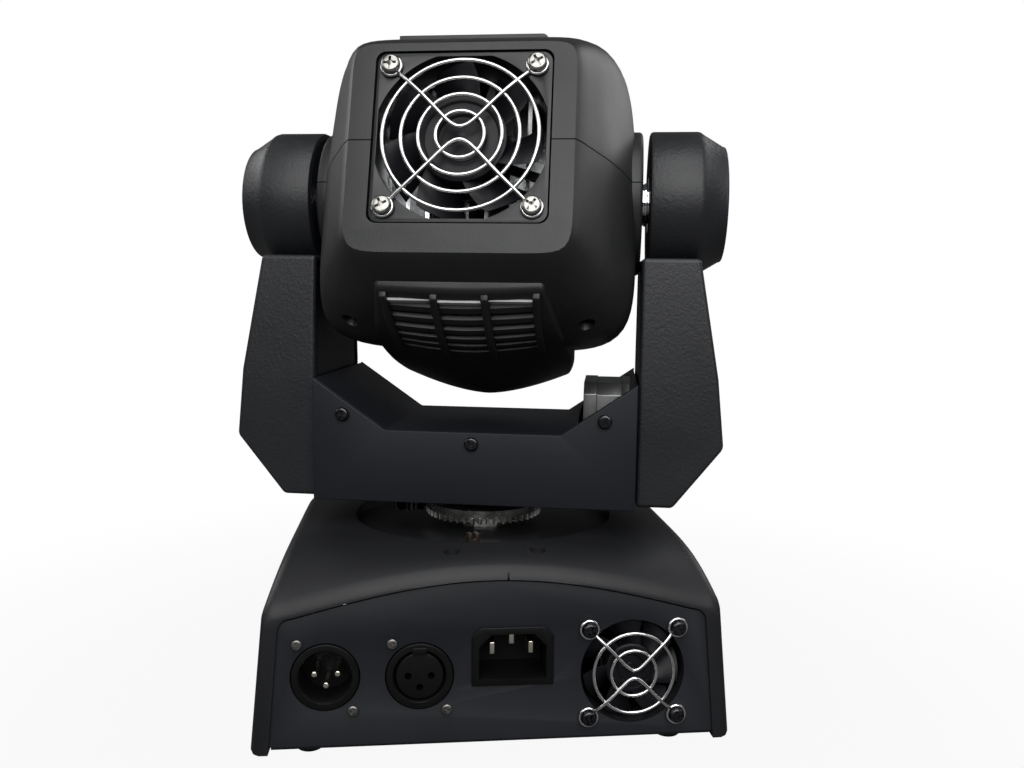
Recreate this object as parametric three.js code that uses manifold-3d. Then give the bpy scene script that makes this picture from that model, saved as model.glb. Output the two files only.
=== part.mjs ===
// Moving head spot: a base, a yoke that pans on it and a head that tilts in the yoke.
// Millimetres, +Z up. The origin is on the pan axis at floor level, the connector panel faces -Y
// and the panel with the display faces +Y.

import * as THREE from 'three';
import { mergeVertices } from 'three/addons/utils/BufferGeometryUtils.js';
import Module from 'manifold-3d';

const wasm = await Module();
wasm.setup();

// Rest pose, in degrees
const panAtRest = -12.2;
const noseDownAtRest = 15.4;

// Clearances
const fit = 0.3;
const slidingFit = 0.4;
const panelFit = 0.8;
const overrun = 3;
const weld = 0.0001;

// Smoothness, in sides of a full circle
const fineSides = 22;
const roundSides = 16;
const smallSides = 9;
const pinSides = 6;
const wireSides = 4;
const wireSteps = 6;
const eyeSides = 6;
const headSides = 20;
const keelSteps = 6;
const windowSides = 7;
const cornerSteps = 2;
const beltSteps = 8;
const shoulderSteps = 2;
const archSteps = 3;

// Base cover
const coverSpread = 3.5;
const coverDraw = 4.7;
const baseHalfDepth = 69.2;
const coverFloor = 5.6;
const shoulderRise = 15;
const crownRiseEnd = 12;
const crownRiseMiddle = 20;
const shoulderRadius = 5;
const coverSideWall = 6;
const coverRoofWall = 3;
const coverEdge = 1.4;
const dishRadius = 53.1;
const dishDepth = 7;
const pocketRadius = 2.4;
const pocketDepth = 2.2;
const pocketX = 15.4;
const pocketPastDish = 4.9;

// End panels of the base
const endLean = 2.17;
const panelSetBack = 0.9;
const panelSheet = 1.2;
const panelPivotHeight = 35;
const panelMarginLeft = 3.9;
const panelMarginRight = 6.8;
const socketGap = 7.6;
const inletGap = 4.6;
const fanGap = 7.7;

// Bottom plate and feet
const bottomSheet = 1.2;
const bottomPlateTop = 7.7;
const bottomPlateInset = 1;
const footRadius = 6;
const footTaper = 0.9;
const footInsetX = 18.9;
const footInsetY = 15.2;

// Data sockets on the connector panel
const dataInSill = 9.5;
const dataOutSill = 8.9;
const socketRadius = 11.8;
const socketProud = 0.5;
const socketDepth = 20;
const socketFlangeWidth = 25;
const socketFlangeHeight = 30;
const socketFlangeThickness = 2;
const socketFlangeCorner = 3;
const dataCupRadius = 9.7;
const dataCupDepth = 16.5;
const dataInsertRadius = 7.9;
const dataGrooveDepth = 11;
const dataPinRadius = 1.2;
const dataPinLength = 10.5;
const dataPinCircle = 4.05;
const dataHoleRadius = 1.5;
const dataLatchWidth = 5;
const dataLatchHeight = 1.6;

// Mains inlet on the connector panel
const inletSill = 18.6;
const inletCavityWidth = 24;
const inletCavityHeight = 16;
const inletCavityDepth = 17;
const inletCorner = 4.5;
const inletWall = 1.6;
const inletFlangeLap = 2;
const inletFlangeThickness = 1.2;
const inletPinSpacing = 7;
const inletPinRise = 1.1;
const inletEarthRise = 3.6;
const inletPinWidth = 2;
const inletPinThickness = 4;
const inletPinLength = 12;

// Small fan of the base and the large fan of the head
const fanSill = 3.1;
const fanHeadroom = 1.9;
const baseFanSide = 40;
const baseFanDepth = 10;
const baseFanScrewInset = 4;
const baseFanRim = 1.2;
const baseFanHub = 8.5;
const headFanSide = 60;
const headFanDepth = 15;
const headFanScrewInset = 5;
const headFanRim = 1.4;
const headFanHub = 15;
const fanFloor = 1.6;
const fanTipGap = 1;
const fanBlades = 7;
const fanBladeThickness = 1.1;
const fanScrewRadius = 1.6;
const fanStrutWidth = 3;
const fanRotorInset = 1;

// Wire guards
const baseGuardWire = 0.85;
const baseGuardRings = [8.2, 14.5];
const headGuardWire = 0.9;
const headGuardRings = [8.2, 14.2, 20.1, 26.5];
const guardStandOff = 1.6;
const baseGuardEye = 2.7;
const headGuardEye = 3.3;

// Front panel: display and keys
const displayWidth = 46;
const displayHeight = 19;
const keyGap = 2.8;
const displaySill = 16.5;
const displayProud = 0.8;
const displayDepth = 4;
const displayCorner = 2;
const keyRadius = 4;
const keyPitch = 12;
const keyCount = 4;
const keyRowX = -46;
const keyProud = 1.6;
const keyFlange = 1.1;
const keyFlangeThickness = 1;
const keyTravelRoom = 1.8;

// Boards inside the base
const boardThickness = 1.6;
const standOff = 5;
const standOffRadius = 3;
const supplyWidth = 88;
const supplyDepth = 46;
const supplyX = -22;
const supplyY = 4;
const transformerSide = 22;
const transformerHeight = 18;
const capacitorPlace = 28.6;
const capacitorRadius = 7;
const capacitorHeight = 22;
const controlWidth = 104;
const controlHeight = 34;
const processorSide = 12;
const processorHeight = 2;

// Pan gear train and bearing
const gearModule = 1;
const panGearTeeth = 48;
const pinionTeeth = 14;
const gearLift = 4.4;
const gearWidth = 5.6;
const gearHubBand = 6.7;
const pinionShaftRadius = 2.5;
const pinionShaftHole = 5;
const postRadius = 12;
const postWall = 3;
const postDepth = 15;
const postRise = 12.1;
const postFlangeBand = 9;
const postFlangeThickness = 3.4;
const washerBand = 4.7;
const washerThickness = 4;
const bearingWall = 2.2;
const bearingFlangeBand = 1.9;
const bearingFlangeThickness = 3.3;
const retainerThickness = 2;

// Crossbar of the yoke
const crossbarHalfDepth = 34.8;
const crossbarHeight = 28.2;
const crossbarSlopeLength = 28.5;
const crossbarSlopeRise = 19.7;
const yokeSheet = 1.5;

// Motors in the crossbar
const panMotorSide = 28;
const panMotorCorner = 3;
const panMotorHeadroom = 1.9;
const panMotorPlate = 3;
const tiltMotorLength = 21;
const tiltMotorCanLength = 12.4;
const tiltMotorRadius = 17.5;
const tiltMotorRise = 0.9;
const tiltMotorCap = 3.6;
const tiltMotorNeckRadius = 14;
const windowRim = 1.6;
const windowLip = 3.1;
const windowSide = 2.8;
const windowRoom = 2.5;

// Arms and drums of the yoke
const armBottomDraw = 18.2;
const armElbowRoom = 14.4;
const armRidgeDraw = 2.9;
const armTopRoom = 3.9;
const armElbowRise = 23.9;
const armRidgeRise = 26.2;
const armTopDrop = 21.6;
const armBottomHalfDepth = 28.6;
const armElbowHalfDepth = 29.8;
const armRidgeHalfDepth = 30.8;
const armTopHalfDepth = 27.6;
const armEdge = 2;
const armWall = 2.4;
const sweepGap = 15.1;
const drumStep = 2.4;
const drumRadius = 28.1;
const drumRoom = 6.6;
const drumFaceRise = 9.5;
const drumFaceInset = 6.6;
const drumEdge = 1.2;
const beltPassRoom = 0.4;
const bracketSheet = 1.6;

// Tilt shafts, bearings, pulleys and belt
const shaftWall = 3.1;
const bushStep = 0.9;
const journalRadius = 7.6;
const shaftFlangeBand = 4.5;
const shaftFlangeThickness = 2.6;
const tiltBearingWall = 3.1;
const tiltBearingLength = 4;
const tiltBearingLip = 1.2;
const shaftPastBearing = 3;
const shaftPastPulley = 2;
const pulleyGap = 1;
const pulleyWidth = 6;
const pulleyFlange = 1;
const pulleyFlangeRise = 1.6;
const tiltPulleyRadius = 15;
const motorPulleyRadius = 5.625;
const beltThickness = 1.2;

// Head shell
const headRear = 66;
const headFront = 62;
const headHalfWidth = 60.5;
const headTop = 60.6;
const headBottom = 62;
const headWall = 2.4;
const headRearWall = 4.4;
const headSeamDrop = 1.4;
const keelHalfWidth = 37.5;
const keelBottom = 73;
const keelArch = 9.5;
const keelRoof = 30;
const spineHalfWidth = 26;
const spineRise = 2;
const sideBossRadius = 28;
const sideBossRise = 1.7;
const tiltGap = 2.8;
const bezelWall = 7.3;
const fanRecessRoom = 0.6;
const fanRecessCorner = 3.5;
const fanRecessDepth = 2;

// Vent grille under the rear face of the head
const slotRows = 6;
const slotColumns = 3;
const slotPitch = 5;
const slotHeight = 2.5;
const slotFirst = 50;
const ribPitch = 17.6;
const ribWidth = 3;
const ribRise = 1.2;
const ribStart = 54;
const ribEnd = 9;
const headScrewPocketX = 43;
const headScrewPocketPlace = 34;

// Inside of the head
const frameSheet = 1.5;
const frameGap = 4.5;
const frameHalfHeight = 22;
const frameRear = 24;
const framePlateHalfHeight = 34;
const heatSinkBase = 4;
const heatSinkHalfWidth = 36;
const heatSinkTop = 38;
const heatSinkBottom = 44;
const heatSinkGap = 0.5;
const heatSinkFront = 18;
const heatSinkFins = 11;
const heatSinkFin = 1.4;
const emitterBoardSide = 32;
const emitterBoard = 1.6;
const emitterRadius = 7;
const emitterHeight = 4;
const condenserRadius = 14.7;
const condenserHalfThickness = 2.2;
const condenserCrown = 3;
const wheelOffset = 26;
const wheelRadius = 33;
const wheelSheet = 1.2;
const wheelHubRadius = 5;
const wheelShaftRadius = 2;
const wheelShaftHole = 3;
const colourWheelPlace = 6.5;
const goboWheelPlace = 10;
const colourWindows = 8;
const colourWindowRadius = 6;
const goboWindows = 7;
const goboWindowRadius = 6.5;
const wheelMotorRadius = 10;
const wheelMotorLength = 12;
const barrelRadius = 26;
const barrelWall = 2;
const barrelRear = 18;
const focusLensPlace = 34;
const focusLensThickness = 7;
const focusLensCrown = 3;

// Front of the head
const bezelFlange = 1.9;
const bezelProud = 13;
const bezelSink = 8;
const bezelBand = 5;
const bezelEdge = 2.4;
const bezelLip = 2.6;
const lensSeatRise = 4;
const lensRim = 3;
const lensCrown = 5.5;
const lensFlat = 3.2;

// Sizes and places that follow from the ones above

// Panels and base cover: the contents of the connector panel, side by side, set the width.
const panelBottom = bottomPlateTop + fit;
const inletFlangeHalf = inletCavityWidth / 2 + inletWall + inletFlangeLap;
const socketsWidth = 2 * socketFlangeWidth + socketGap;
const inletWidth = inletGap + 2 * inletFlangeHalf + fanGap;
const panelOpening = panelMarginLeft + socketsWidth + inletWidth + baseFanSide + panelMarginRight;
const dataInX = panelMarginLeft + socketFlangeWidth / 2 - panelOpening / 2;
const dataOutX = dataInX + socketFlangeWidth + socketGap;
const inletX = dataOutX + socketFlangeWidth / 2 + inletGap + inletFlangeHalf;
const baseFanX = inletX + inletFlangeHalf + fanGap + baseFanSide / 2;
const dataInHeight = panelBottom + dataInSill + socketFlangeHeight / 2;
const dataOutHeight = panelBottom + dataOutSill + socketFlangeHeight / 2;
const inletHeight = panelBottom + inletSill + inletFlangeHalf - (inletCavityWidth - inletCavityHeight) / 2;
const baseFanHeight = panelBottom + fanSill + baseFanSide / 2;
const shoulderHalfWidthEnd = panelOpening / 2 + coverSideWall;
const shoulderHalfWidthMiddle = shoulderHalfWidthEnd - coverDraw;
const baseHalfWidth = shoulderHalfWidthEnd + coverSpread;
const shoulderHeightEnd = baseFanHeight + baseFanSide / 2 + fanHeadroom + coverRoofWall;
const shoulderHeightMiddle = shoulderHeightEnd + shoulderRise;
const crownHeightEnd = shoulderHeightEnd + crownRiseEnd;
const crownHeightMiddle = shoulderHeightEnd + crownRiseMiddle;
const dishFloor = crownHeightMiddle - dishDepth;
const pocketY = dishRadius + pocketPastDish;
const footX = baseHalfWidth - footInsetX;
const footY = baseHalfDepth - footInsetY;
const keyRowEnd = keyRowX + (keyCount - 1) * keyPitch + keyRadius + keyFlange;
const displayX = keyRowEnd + keyGap + keyFlange + displayWidth / 2;
const displayHeightOnPanel = panelBottom + displaySill + displayHeight / 2;

// Fans
const baseFanBore = baseFanSide / 2 - baseFanRim;
const baseFanHoleSpacing = baseFanSide - 2 * baseFanScrewInset;
const headFanBore = headFanSide / 2 - headFanRim;
const headFanHoleSpacing = headFanSide - 2 * headFanScrewInset;
const fanRecessSide = headFanSide + 2 * fanRecessRoom;

// Pan gear train and crossbar, one above the other
const gearBottom = dishFloor + gearLift;
const gearTop = gearBottom + gearWidth;
const gearHubRadius = postRadius + fit + gearHubBand;
const postBore = postRadius - postWall;
const postBottom = dishFloor - postDepth;
const postFlangeRadius = postRadius + postFlangeBand;
const washerRadius = postRadius + fit + washerBand;
const bearingRadius = postRadius + fit + bearingWall;
const bearingFlangeRadius = bearingRadius + bearingFlangeBand;
const crossbarBottom = gearTop + washerThickness + 3 * fit;
const crossbarTop = crossbarBottom + crossbarHeight;
const crossbarEndTop = crossbarTop + crossbarSlopeRise;
const postTop = crossbarBottom + postRise;

// Across the tilt axis, from the head outwards
const sideBossFace = headHalfWidth + sideBossRise;
const drumInner = sideBossFace + tiltGap;
const armInner = drumInner - drumStep;
const crossbarHalfLength = armInner - fit;
const crossbarFlatHalfLength = crossbarHalfLength - crossbarSlopeLength;
const pulleyStart = drumInner + tiltBearingLength + pulleyGap + pulleyFlange;
const beltEnd = pulleyStart + pulleyWidth + pulleyFlange;
const shaftEndLeft = drumInner + tiltBearingLength + shaftPastBearing;
const shaftEndRight = beltEnd + shaftPastPulley;
const armElbowOuter = beltEnd + armWall + armElbowRoom;
const armBottomOuter = armElbowOuter - armBottomDraw;
const armRidgeOuter = armElbowOuter - armRidgeDraw;
const armTopOuter = beltEnd + armWall + armTopRoom;
const drumShoulder = beltEnd + drumRoom;
const drumFace = drumShoulder + drumFaceRise;
const drumFaceRadius = drumRadius - drumFaceInset;
const beltPassHalfWidth = tiltPulleyRadius + beltPassRoom;
const shaftBore = journalRadius - shaftWall;
const bushRadius = journalRadius + bushStep;
const shaftFlangeRadius = bushRadius + shaftFlangeBand;
const tiltBearingRadius = journalRadius + fit + tiltBearingWall;
const frameSideOuter = headHalfWidth - headWall - frameGap;

// Heights in the yoke: the tilt axis clears the crossbar by the reach of the belly.
const tiltHeight = crossbarTop + keelBottom + sweepGap;
const armTopHeight = tiltHeight - armTopDrop;
const armElbowHeight = crossbarBottom + armElbowRise;
const armRidgeHeight = armElbowHeight + armRidgeRise;
const panMotorLength = crossbarHeight - 2 * yokeSheet - fit - panMotorHeadroom;
const tiltMotorStart = armInner - tiltMotorLength;
const tiltMotorHeight = crossbarTop + tiltMotorRise;
const windowStart = tiltMotorStart - windowRim;
const windowEnd = armInner - windowLip;
const windowRear = crossbarHalfDepth - windowSide;
const windowFront = tiltMotorRadius + windowRoom;

// Along the beam
const heatSinkRear = headRear - headRearWall - fit - headFanDepth - heatSinkGap;
const bezelBore = barrelRadius + bezelBand;
const frontHoleRadius = bezelBore + bezelWall;
const bezelRadius = frontHoleRadius + bezelFlange;
const bezelFront = headFront + bezelProud;
const bezelRear = headFront - bezelSink;
const lensSeat = headFront + lensSeatRise;

// Shapes given as shares: along, width, top, bottom, squareness above and below.
// Along is a share of the head's length behind the tilt axis (negative) or ahead of it.
const headSectionShares = [
  [-1, 0.635, 0.553, 0.655, 6, 6],
  [-0.97, 0.665, 0.585, 0.688, 6, 6],
  [-0.8, 0.775, 0.7, 0.805, 5.8, 6.5],
  [-0.5, 0.93, 0.87, 0.945, 5.4, 6.5],
  [-0.22, 1, 0.97, 1, 4.8, 6.8],
  [0.25, 1, 1, 0.915, 4.2, 5],
  [0.55, 0.955, 0.95, 0.84, 3.7, 3.8],
  [0.82, 0.85, 0.84, 0.77, 3, 3],
  [1, 0.7, 0.705, 0.68, 2.05, 2.05],
];
// How much narrower the shell is at its top than at its seam, from the second share of its length on.
const headTaperShare = 0.06;
const taperStartShare = 0.3;
// Along (as above), half width, depth and arch of the belly that stands out under the lower shell.
const keelSectionShares = [
  [-0.85, 0.74, 0.678, 0.1],
  [-0.5, 0.87, 0.84, 0.35],
  [-0.25, 0.96, 0.905, 0.6],
  [0.08, 1, 0.975, 0.9],
  [0.45, 0.95, 1, 1],
  [0.74, 0.86, 0.945, 1],
  [0.98, 0.7, 0.65, 0.6],
];
const keelArchPower = 1.6;
// How far the bent wires of a guard stand off its rings, as a share of the wire's radius.
const guardPitchShare = 1.3;
// Stations of the base cover, as shares of its half depth.
const coverStationShares = [1, 0.97, 0.87, 0.62, 0];
const shoulderFlatness = 5;
const crownFlatness = 8;
const leanFlatness = 3;
// One half of a bent guard wire: places along and across as shares of the screw's place, and
// how far it stands off as a share of its full stand-off.
const guardWireShares = [
  [0.9, 0.9, 0],
  [0.56, 0.55, 1],
  [0.26, 0.23, 1],
  [0.1, 0.11, 1],
  [0, 0.088, 1],
];
// Stations of a fan blade from root to tip, with its chord as a share of the blade's depth.
const bladeStationShares = [0, 0.5, 1];
const bladeChordShares = [0.62, 0.9, 1.05];
const bladeTwists = [52, 42, 34];
// The rounded outer corner of an arm section: places in from its two sides.
const armCornerShares = [
  [0, 1],
  [0.3, 0.3],
  [1, 0],
];
// Half widths of a gear tooth at root and tip, as shares of one tooth's angle.
const toothRootShare = 0.3;
const toothTipShare = 0.1;
const toothHeightShare = 0.9;
const toothDepthShare = 1.2;

const quarterTurn = Math.PI / 2;
const fullCircle = 360;
const halfCircle = 180;
const radians = THREE.MathUtils.degToRad;
const mix = THREE.MathUtils.lerp;

// Solids: each helper gives a closed solid that can be joined and cut.

function solid(geometry) {
  const bare = new THREE.BufferGeometry();
  bare.setAttribute('position', geometry.getAttribute('position'));
  bare.setIndex(geometry.getIndex());
  const merged = mergeVertices(bare, weld);
  const corners = merged.getIndex().array;
  const triangles = [];
  for (let i = 0; i < corners.length; i += 3) {
    const [a, b, c] = corners.slice(i, i + 3);
    if (a !== b && b !== c && c !== a) triangles.push(a, b, c);
  }
  const vertProperties = Float32Array.from(merged.getAttribute('position').array);
  const shape = new wasm.Manifold(
    new wasm.Mesh({ numProp: 3, vertProperties, triVerts: Uint32Array.from(triangles) }),
  );
  if (shape.volume() > 0) return shape;
  return new wasm.Manifold(
    new wasm.Mesh({ numProp: 3, vertProperties, triVerts: Uint32Array.from(triangles.reverse()) }),
  );
}

function geometryOf(shape) {
  const mesh = shape.getMesh();
  const geometry = new THREE.BufferGeometry();
  const places = Float32Array.from(mesh.vertProperties);
  geometry.setAttribute('position', new THREE.BufferAttribute(places, 3));
  geometry.setIndex(new THREE.BufferAttribute(Uint32Array.from(mesh.triVerts), 1));
  geometry.computeVertexNormals();
  return geometry;
}

function join(first, ...others) {
  return others.reduce((whole, piece) => whole.add(piece), first);
}

function cut(first, ...others) {
  return others.reduce((whole, piece) => whole.subtract(piece), first);
}

// A block between two opposite corners.
function block(low, high) {
  const size = high.map((value, i) => value - low[i]);
  const geometry = new THREE.BoxGeometry(...size);
  geometry.translate(low[0] + size[0] / 2, low[1] + size[1] / 2, low[2] + size[2] / 2);
  return solid(geometry);
}

// Lays something made along its own axis onto the axis named.
function layAlong(axis, geometry) {
  if (axis === 'x') geometry.rotateZ(-quarterTurn);
  if (axis === 'z') geometry.rotateX(quarterTurn);
  return geometry;
}

// A body of revolution. The profile is a list of [radius, place along the axis].
function turned(axis, profile, sides, centre = [0, 0, 0]) {
  const points = profile.map(([radius, along]) => new THREE.Vector2(radius, along));
  if (profile[0][0] > 0) points.push(points[0].clone());
  const geometry = layAlong(axis, new THREE.LatheGeometry(points, sides));
  return solid(geometry.translate(...centre));
}

function rod(axis, radius, from, to, sides, centre) {
  return turned(axis, [[0, from], [radius, from], [radius, to], [0, to]], sides, centre);
}

function tube(axis, inner, outer, from, to, sides, centre) {
  return turned(axis, [[inner, from], [outer, from], [outer, to], [inner, to]], sides, centre);
}

// A flat outline given thickness across the axis named: x takes (y, z) outlines, y takes (x, z).
function plate(across, shape, from, to, curveSegments = cornerSteps) {
  const geometry = new THREE.ExtrudeGeometry(shape, {
    depth: to - from,
    bevelEnabled: false,
    curveSegments,
  });
  if (across === 'x') {
    const basis = new THREE.Matrix4().makeBasis(
      new THREE.Vector3(0, 1, 0),
      new THREE.Vector3(0, 0, 1),
      new THREE.Vector3(1, 0, 0),
    );
    geometry.applyMatrix4(basis).translate(from, 0, 0);
  }
  if (across === 'y') geometry.rotateX(quarterTurn).translate(0, to, 0);
  if (across === 'z') geometry.translate(0, 0, from);
  return solid(geometry);
}

function outline(points) {
  return new THREE.Shape(points.map(([x, y]) => new THREE.Vector2(x, y)));
}

function roundedRectangle(width, height, corner, x = 0, y = 0) {
  const shape = new THREE.Shape();
  const right = x + width / 2;
  const top = y + height / 2;
  const left = right - width;
  const bottom = top - height;
  shape.moveTo(left + corner, bottom);
  shape.lineTo(right - corner, bottom);
  shape.absarc(right - corner, bottom + corner, corner, -quarterTurn, 0);
  shape.absarc(right - corner, top - corner, corner, 0, quarterTurn);
  shape.absarc(left + corner, top - corner, corner, quarterTurn, Math.PI);
  shape.absarc(left + corner, bottom + corner, corner, Math.PI, 3 * quarterTurn);
  shape.closePath();
  return shape;
}

// A skin through rings of points, closed at both ends with a fan of faces.
function loft(rings) {
  const count = rings[0].length;
  const points = rings.flat();
  const faces = [];
  for (let ring = 0; ring + 1 < rings.length; ring++) {
    for (let i = 0; i < count; i++) {
      const a = ring * count + i;
      const b = ring * count + ((i + 1) % count);
      faces.push(a, b, b + count, a, b + count, a + count);
    }
  }
  const middleOf = (ring) =>
    ring.reduce((sum, point) => sum.add(point), new THREE.Vector3()).divideScalar(count);
  points.push(middleOf(rings[0]), middleOf(rings.at(-1)));
  const lastRing = (rings.length - 1) * count;
  for (let i = 0; i < count; i++) {
    const next = (i + 1) % count;
    faces.push(next, i, points.length - 2);
    faces.push(lastRing + i, lastRing + next, points.length - 1);
  }
  const geometry = new THREE.BufferGeometry().setFromPoints(points);
  geometry.setIndex(faces);
  return solid(geometry);
}

// A round wire along a curve, with its ends closed.
function wireAlong(curve, radius, steps) {
  const section = new THREE.Shape();
  for (let i = 0; i < wireSides; i++) {
    const angle = (2 * Math.PI * i) / wireSides;
    const corner = [radius * Math.cos(angle), radius * Math.sin(angle)];
    if (i === 0) section.moveTo(...corner);
    else section.lineTo(...corner);
  }
  const geometry = new THREE.ExtrudeGeometry(section, {
    steps,
    extrudePath: curve,
    bevelEnabled: false,
  });
  return solid(geometry);
}

function wireRing(ringRadius, wireRadius, centre, sides) {
  const geometry = new THREE.TorusGeometry(ringRadius, wireRadius, wireSides, sides);
  return solid(geometry.rotateX(quarterTurn).translate(...centre));
}

// Finishes
const finishes = {
  moulding: { color: 0x1b1c1f, roughness: 0.62, metalness: 0 },
  texturedPaint: { color: 0x24262b, roughness: 0.55, metalness: 0.1 },
  sheetPaint: { color: 0x22242b, roughness: 0.42, metalness: 0.2 },
  blackPlastic: { color: 0x121214, roughness: 0.5, metalness: 0 },
  wire: { color: 0xc9cacc, roughness: 0.22, metalness: 1 },
  steel: { color: 0xa7a8aa, roughness: 0.35, metalness: 1 },
  aluminium: { color: 0xb9bbbd, roughness: 0.4, metalness: 1 },
  rubber: { color: 0x0e0e0f, roughness: 0.9, metalness: 0 },
  board: { color: 0x1c5a36, roughness: 0.6, metalness: 0 },
  glass: { color: 0xdfe8ec, roughness: 0.05, metalness: 0 },
  display: { color: 0x2a0f10, roughness: 0.15, metalness: 0 },
};

const object = new THREE.Group();

function add(parent, name, shape, finish) {
  const mesh = new THREE.Mesh(geometryOf(shape), new THREE.MeshStandardMaterial(finishes[finish]));
  mesh.name = name;
  parent.add(mesh);
  return mesh;
}

// Base cover. Its outline at a station is a wall up to a rounded shoulder and an arch across.
function coverOutline(y, sideInset, roofInset, floor) {
  const reach = Math.min(Math.abs(y) / baseHalfDepth, 1);
  const shoulderShare = 1 - reach ** shoulderFlatness;
  const crownShare = 1 - reach ** crownFlatness;
  const halfWidth = mix(shoulderHalfWidthEnd, shoulderHalfWidthMiddle, shoulderShare) - sideInset;
  const shoulder = mix(shoulderHeightEnd, shoulderHeightMiddle, shoulderShare) - roofInset;
  const crown = mix(crownHeightEnd, crownHeightMiddle, crownShare) - roofInset;
  const half = [[baseHalfWidth - sideInset, floor]];
  for (let i = 0; i < shoulderSteps; i++) {
    const angle = (i / shoulderSteps) * quarterTurn;
    half.push([
      halfWidth - shoulderRadius * (1 - Math.cos(angle)),
      shoulder - shoulderRadius * (1 - Math.sin(angle)),
    ]);
  }
  const archHalf = halfWidth - shoulderRadius;
  for (let i = 0; i < archSteps; i++) {
    const share = 1 - i / archSteps;
    half.push([archHalf * share, shoulder + (crown - shoulder) * Math.cos(quarterTurn * share)]);
  }
  const mirrored = half.map(([x, z]) => [-x, z]).reverse();
  return [...half, [0, crown], ...mirrored];
}

function coverSkin(sideInset, roofInset, floor, runPast) {
  const rears = coverStationShares.map((share) => -share * baseHalfDepth);
  const fronts = rears.slice(0, -1).reverse().map((y) => -y);
  const stations = [...rears, ...fronts];
  const rings = stations.map((y, i) => {
    const atEnd = i === 0 || i === stations.length - 1;
    const edge = atEnd && runPast === 0 ? coverEdge : 0;
    const place = atEnd ? y + Math.sign(y) * runPast : y;
    const leanShare = Math.abs(y / baseHalfDepth) ** leanFlatness;
    const lean = -Math.sign(y) * leanShare * Math.tan(radians(endLean));
    return coverOutline(y, sideInset + edge, roofInset + edge, floor).map(
      ([x, z]) => new THREE.Vector3(x, place + lean * (z - panelPivotHeight), z),
    );
  });
  return loft(rings);
}

function makeBaseCover() {
  const skin = coverSkin(0, 0, coverFloor, 0);
  const underDish = rod('z', dishRadius + coverRoofWall, dishFloor - coverRoofWall, postTop, fineSides);
  const room = coverSkin(coverSideWall, coverRoofWall, coverFloor - overrun, overrun);
  const cavity = cut(room, underDish);
  const dish = rod('z', dishRadius, dishFloor, postTop, fineSides);
  const postHole = rod('z', postRadius + fit, postBottom, postTop, roundSides);
  const pocketFloor = crownHeightMiddle - coverRoofWall;
  const pockets = [-1, 1].map((side) =>
    rod('z', pocketRadius, pocketFloor, postTop, smallSides, [side * pocketX, -pocketY, 0]),
  );
  return cut(skin, cavity, dish, postHole, ...pockets);
}

// An end group has its own frame: x across, z up the panel, y into the base from the panel's face.
function makeEndGroup(turn) {
  const facing = new THREE.Group();
  facing.rotation.z = turn;
  const panelGroup = new THREE.Group();
  panelGroup.position.set(0, -baseHalfDepth + panelSetBack, panelPivotHeight);
  panelGroup.rotation.x = -radians(endLean);
  facing.add(panelGroup);
  object.add(facing);
  return panelGroup;
}

const onPanel = (height) => height - panelPivotHeight;

// A panel fills the opening of the cover from its bottom edge up, with a fit all round.
function makePanelSheet() {
  const insets = [coverSideWall + panelFit, coverRoofWall + panelFit];
  const points = coverOutline(baseHalfDepth, ...insets, coverFloor - overrun);
  const sheet = plate('y', outline(points.map(([x, z]) => [x, onPanel(z)])), 0, panelSheet);
  const under = block(
    [-baseHalfWidth, -overrun, onPanel(0)],
    [baseHalfWidth, panelSheet + overrun, onPanel(panelBottom)],
  );
  return cut(sheet, under);
}

function makeRearPanel() {
  const sheet = makePanelSheet();
  const through = [-overrun, panelSheet + overrun];
  const dataHoles = [[dataInX, dataInHeight], [dataOutX, dataOutHeight]].map(([x, height]) =>
    rod('y', socketRadius + fit, ...through, roundSides, [x, 0, onPanel(height)]),
  );
  const inletHole = plate('y', inletOutline(inletWall + fit), ...through);
  const fanHole = rod('y', baseFanBore, ...through, fineSides, [baseFanX, 0, onPanel(baseFanHeight)]);
  return cut(sheet, ...dataHoles, inletHole, fanHole);
}

const pinAngles = [0, Math.PI, -quarterTurn];

function socketShell(x, height) {
  const z = onPanel(height);
  const centre = [x, 0, z];
  const back = panelSheet + fit;
  const flangeOutline = roundedRectangle(socketFlangeWidth, socketFlangeHeight, socketFlangeCorner, x, z);
  const flange = plate('y', flangeOutline, back, back + socketFlangeThickness);
  const barrelProfile = [
    [0, -socketProud],
    [socketRadius - socketProud, -socketProud],
    [socketRadius, 0],
    [socketRadius, socketDepth],
    [0, socketDepth],
  ];
  return join(turned('y', barrelProfile, roundSides, centre), flange);
}

function makeDataInSocket() {
  const z = onPanel(dataInHeight);
  const cupFloor = dataCupDepth - socketProud;
  const cup = rod('y', dataCupRadius, -overrun, cupFloor, roundSides, [dataInX, 0, z]);
  const pins = pinAngles.map((angle) => {
    const pinX = dataInX + dataPinCircle * Math.cos(angle);
    const pinZ = z + dataPinCircle * Math.sin(angle);
    return rod('y', dataPinRadius, cupFloor - dataPinLength, socketDepth - fit, pinSides, [pinX, 0, pinZ]);
  });
  return join(cut(socketShell(dataInX, dataInHeight), cup), ...pins);
}

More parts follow.
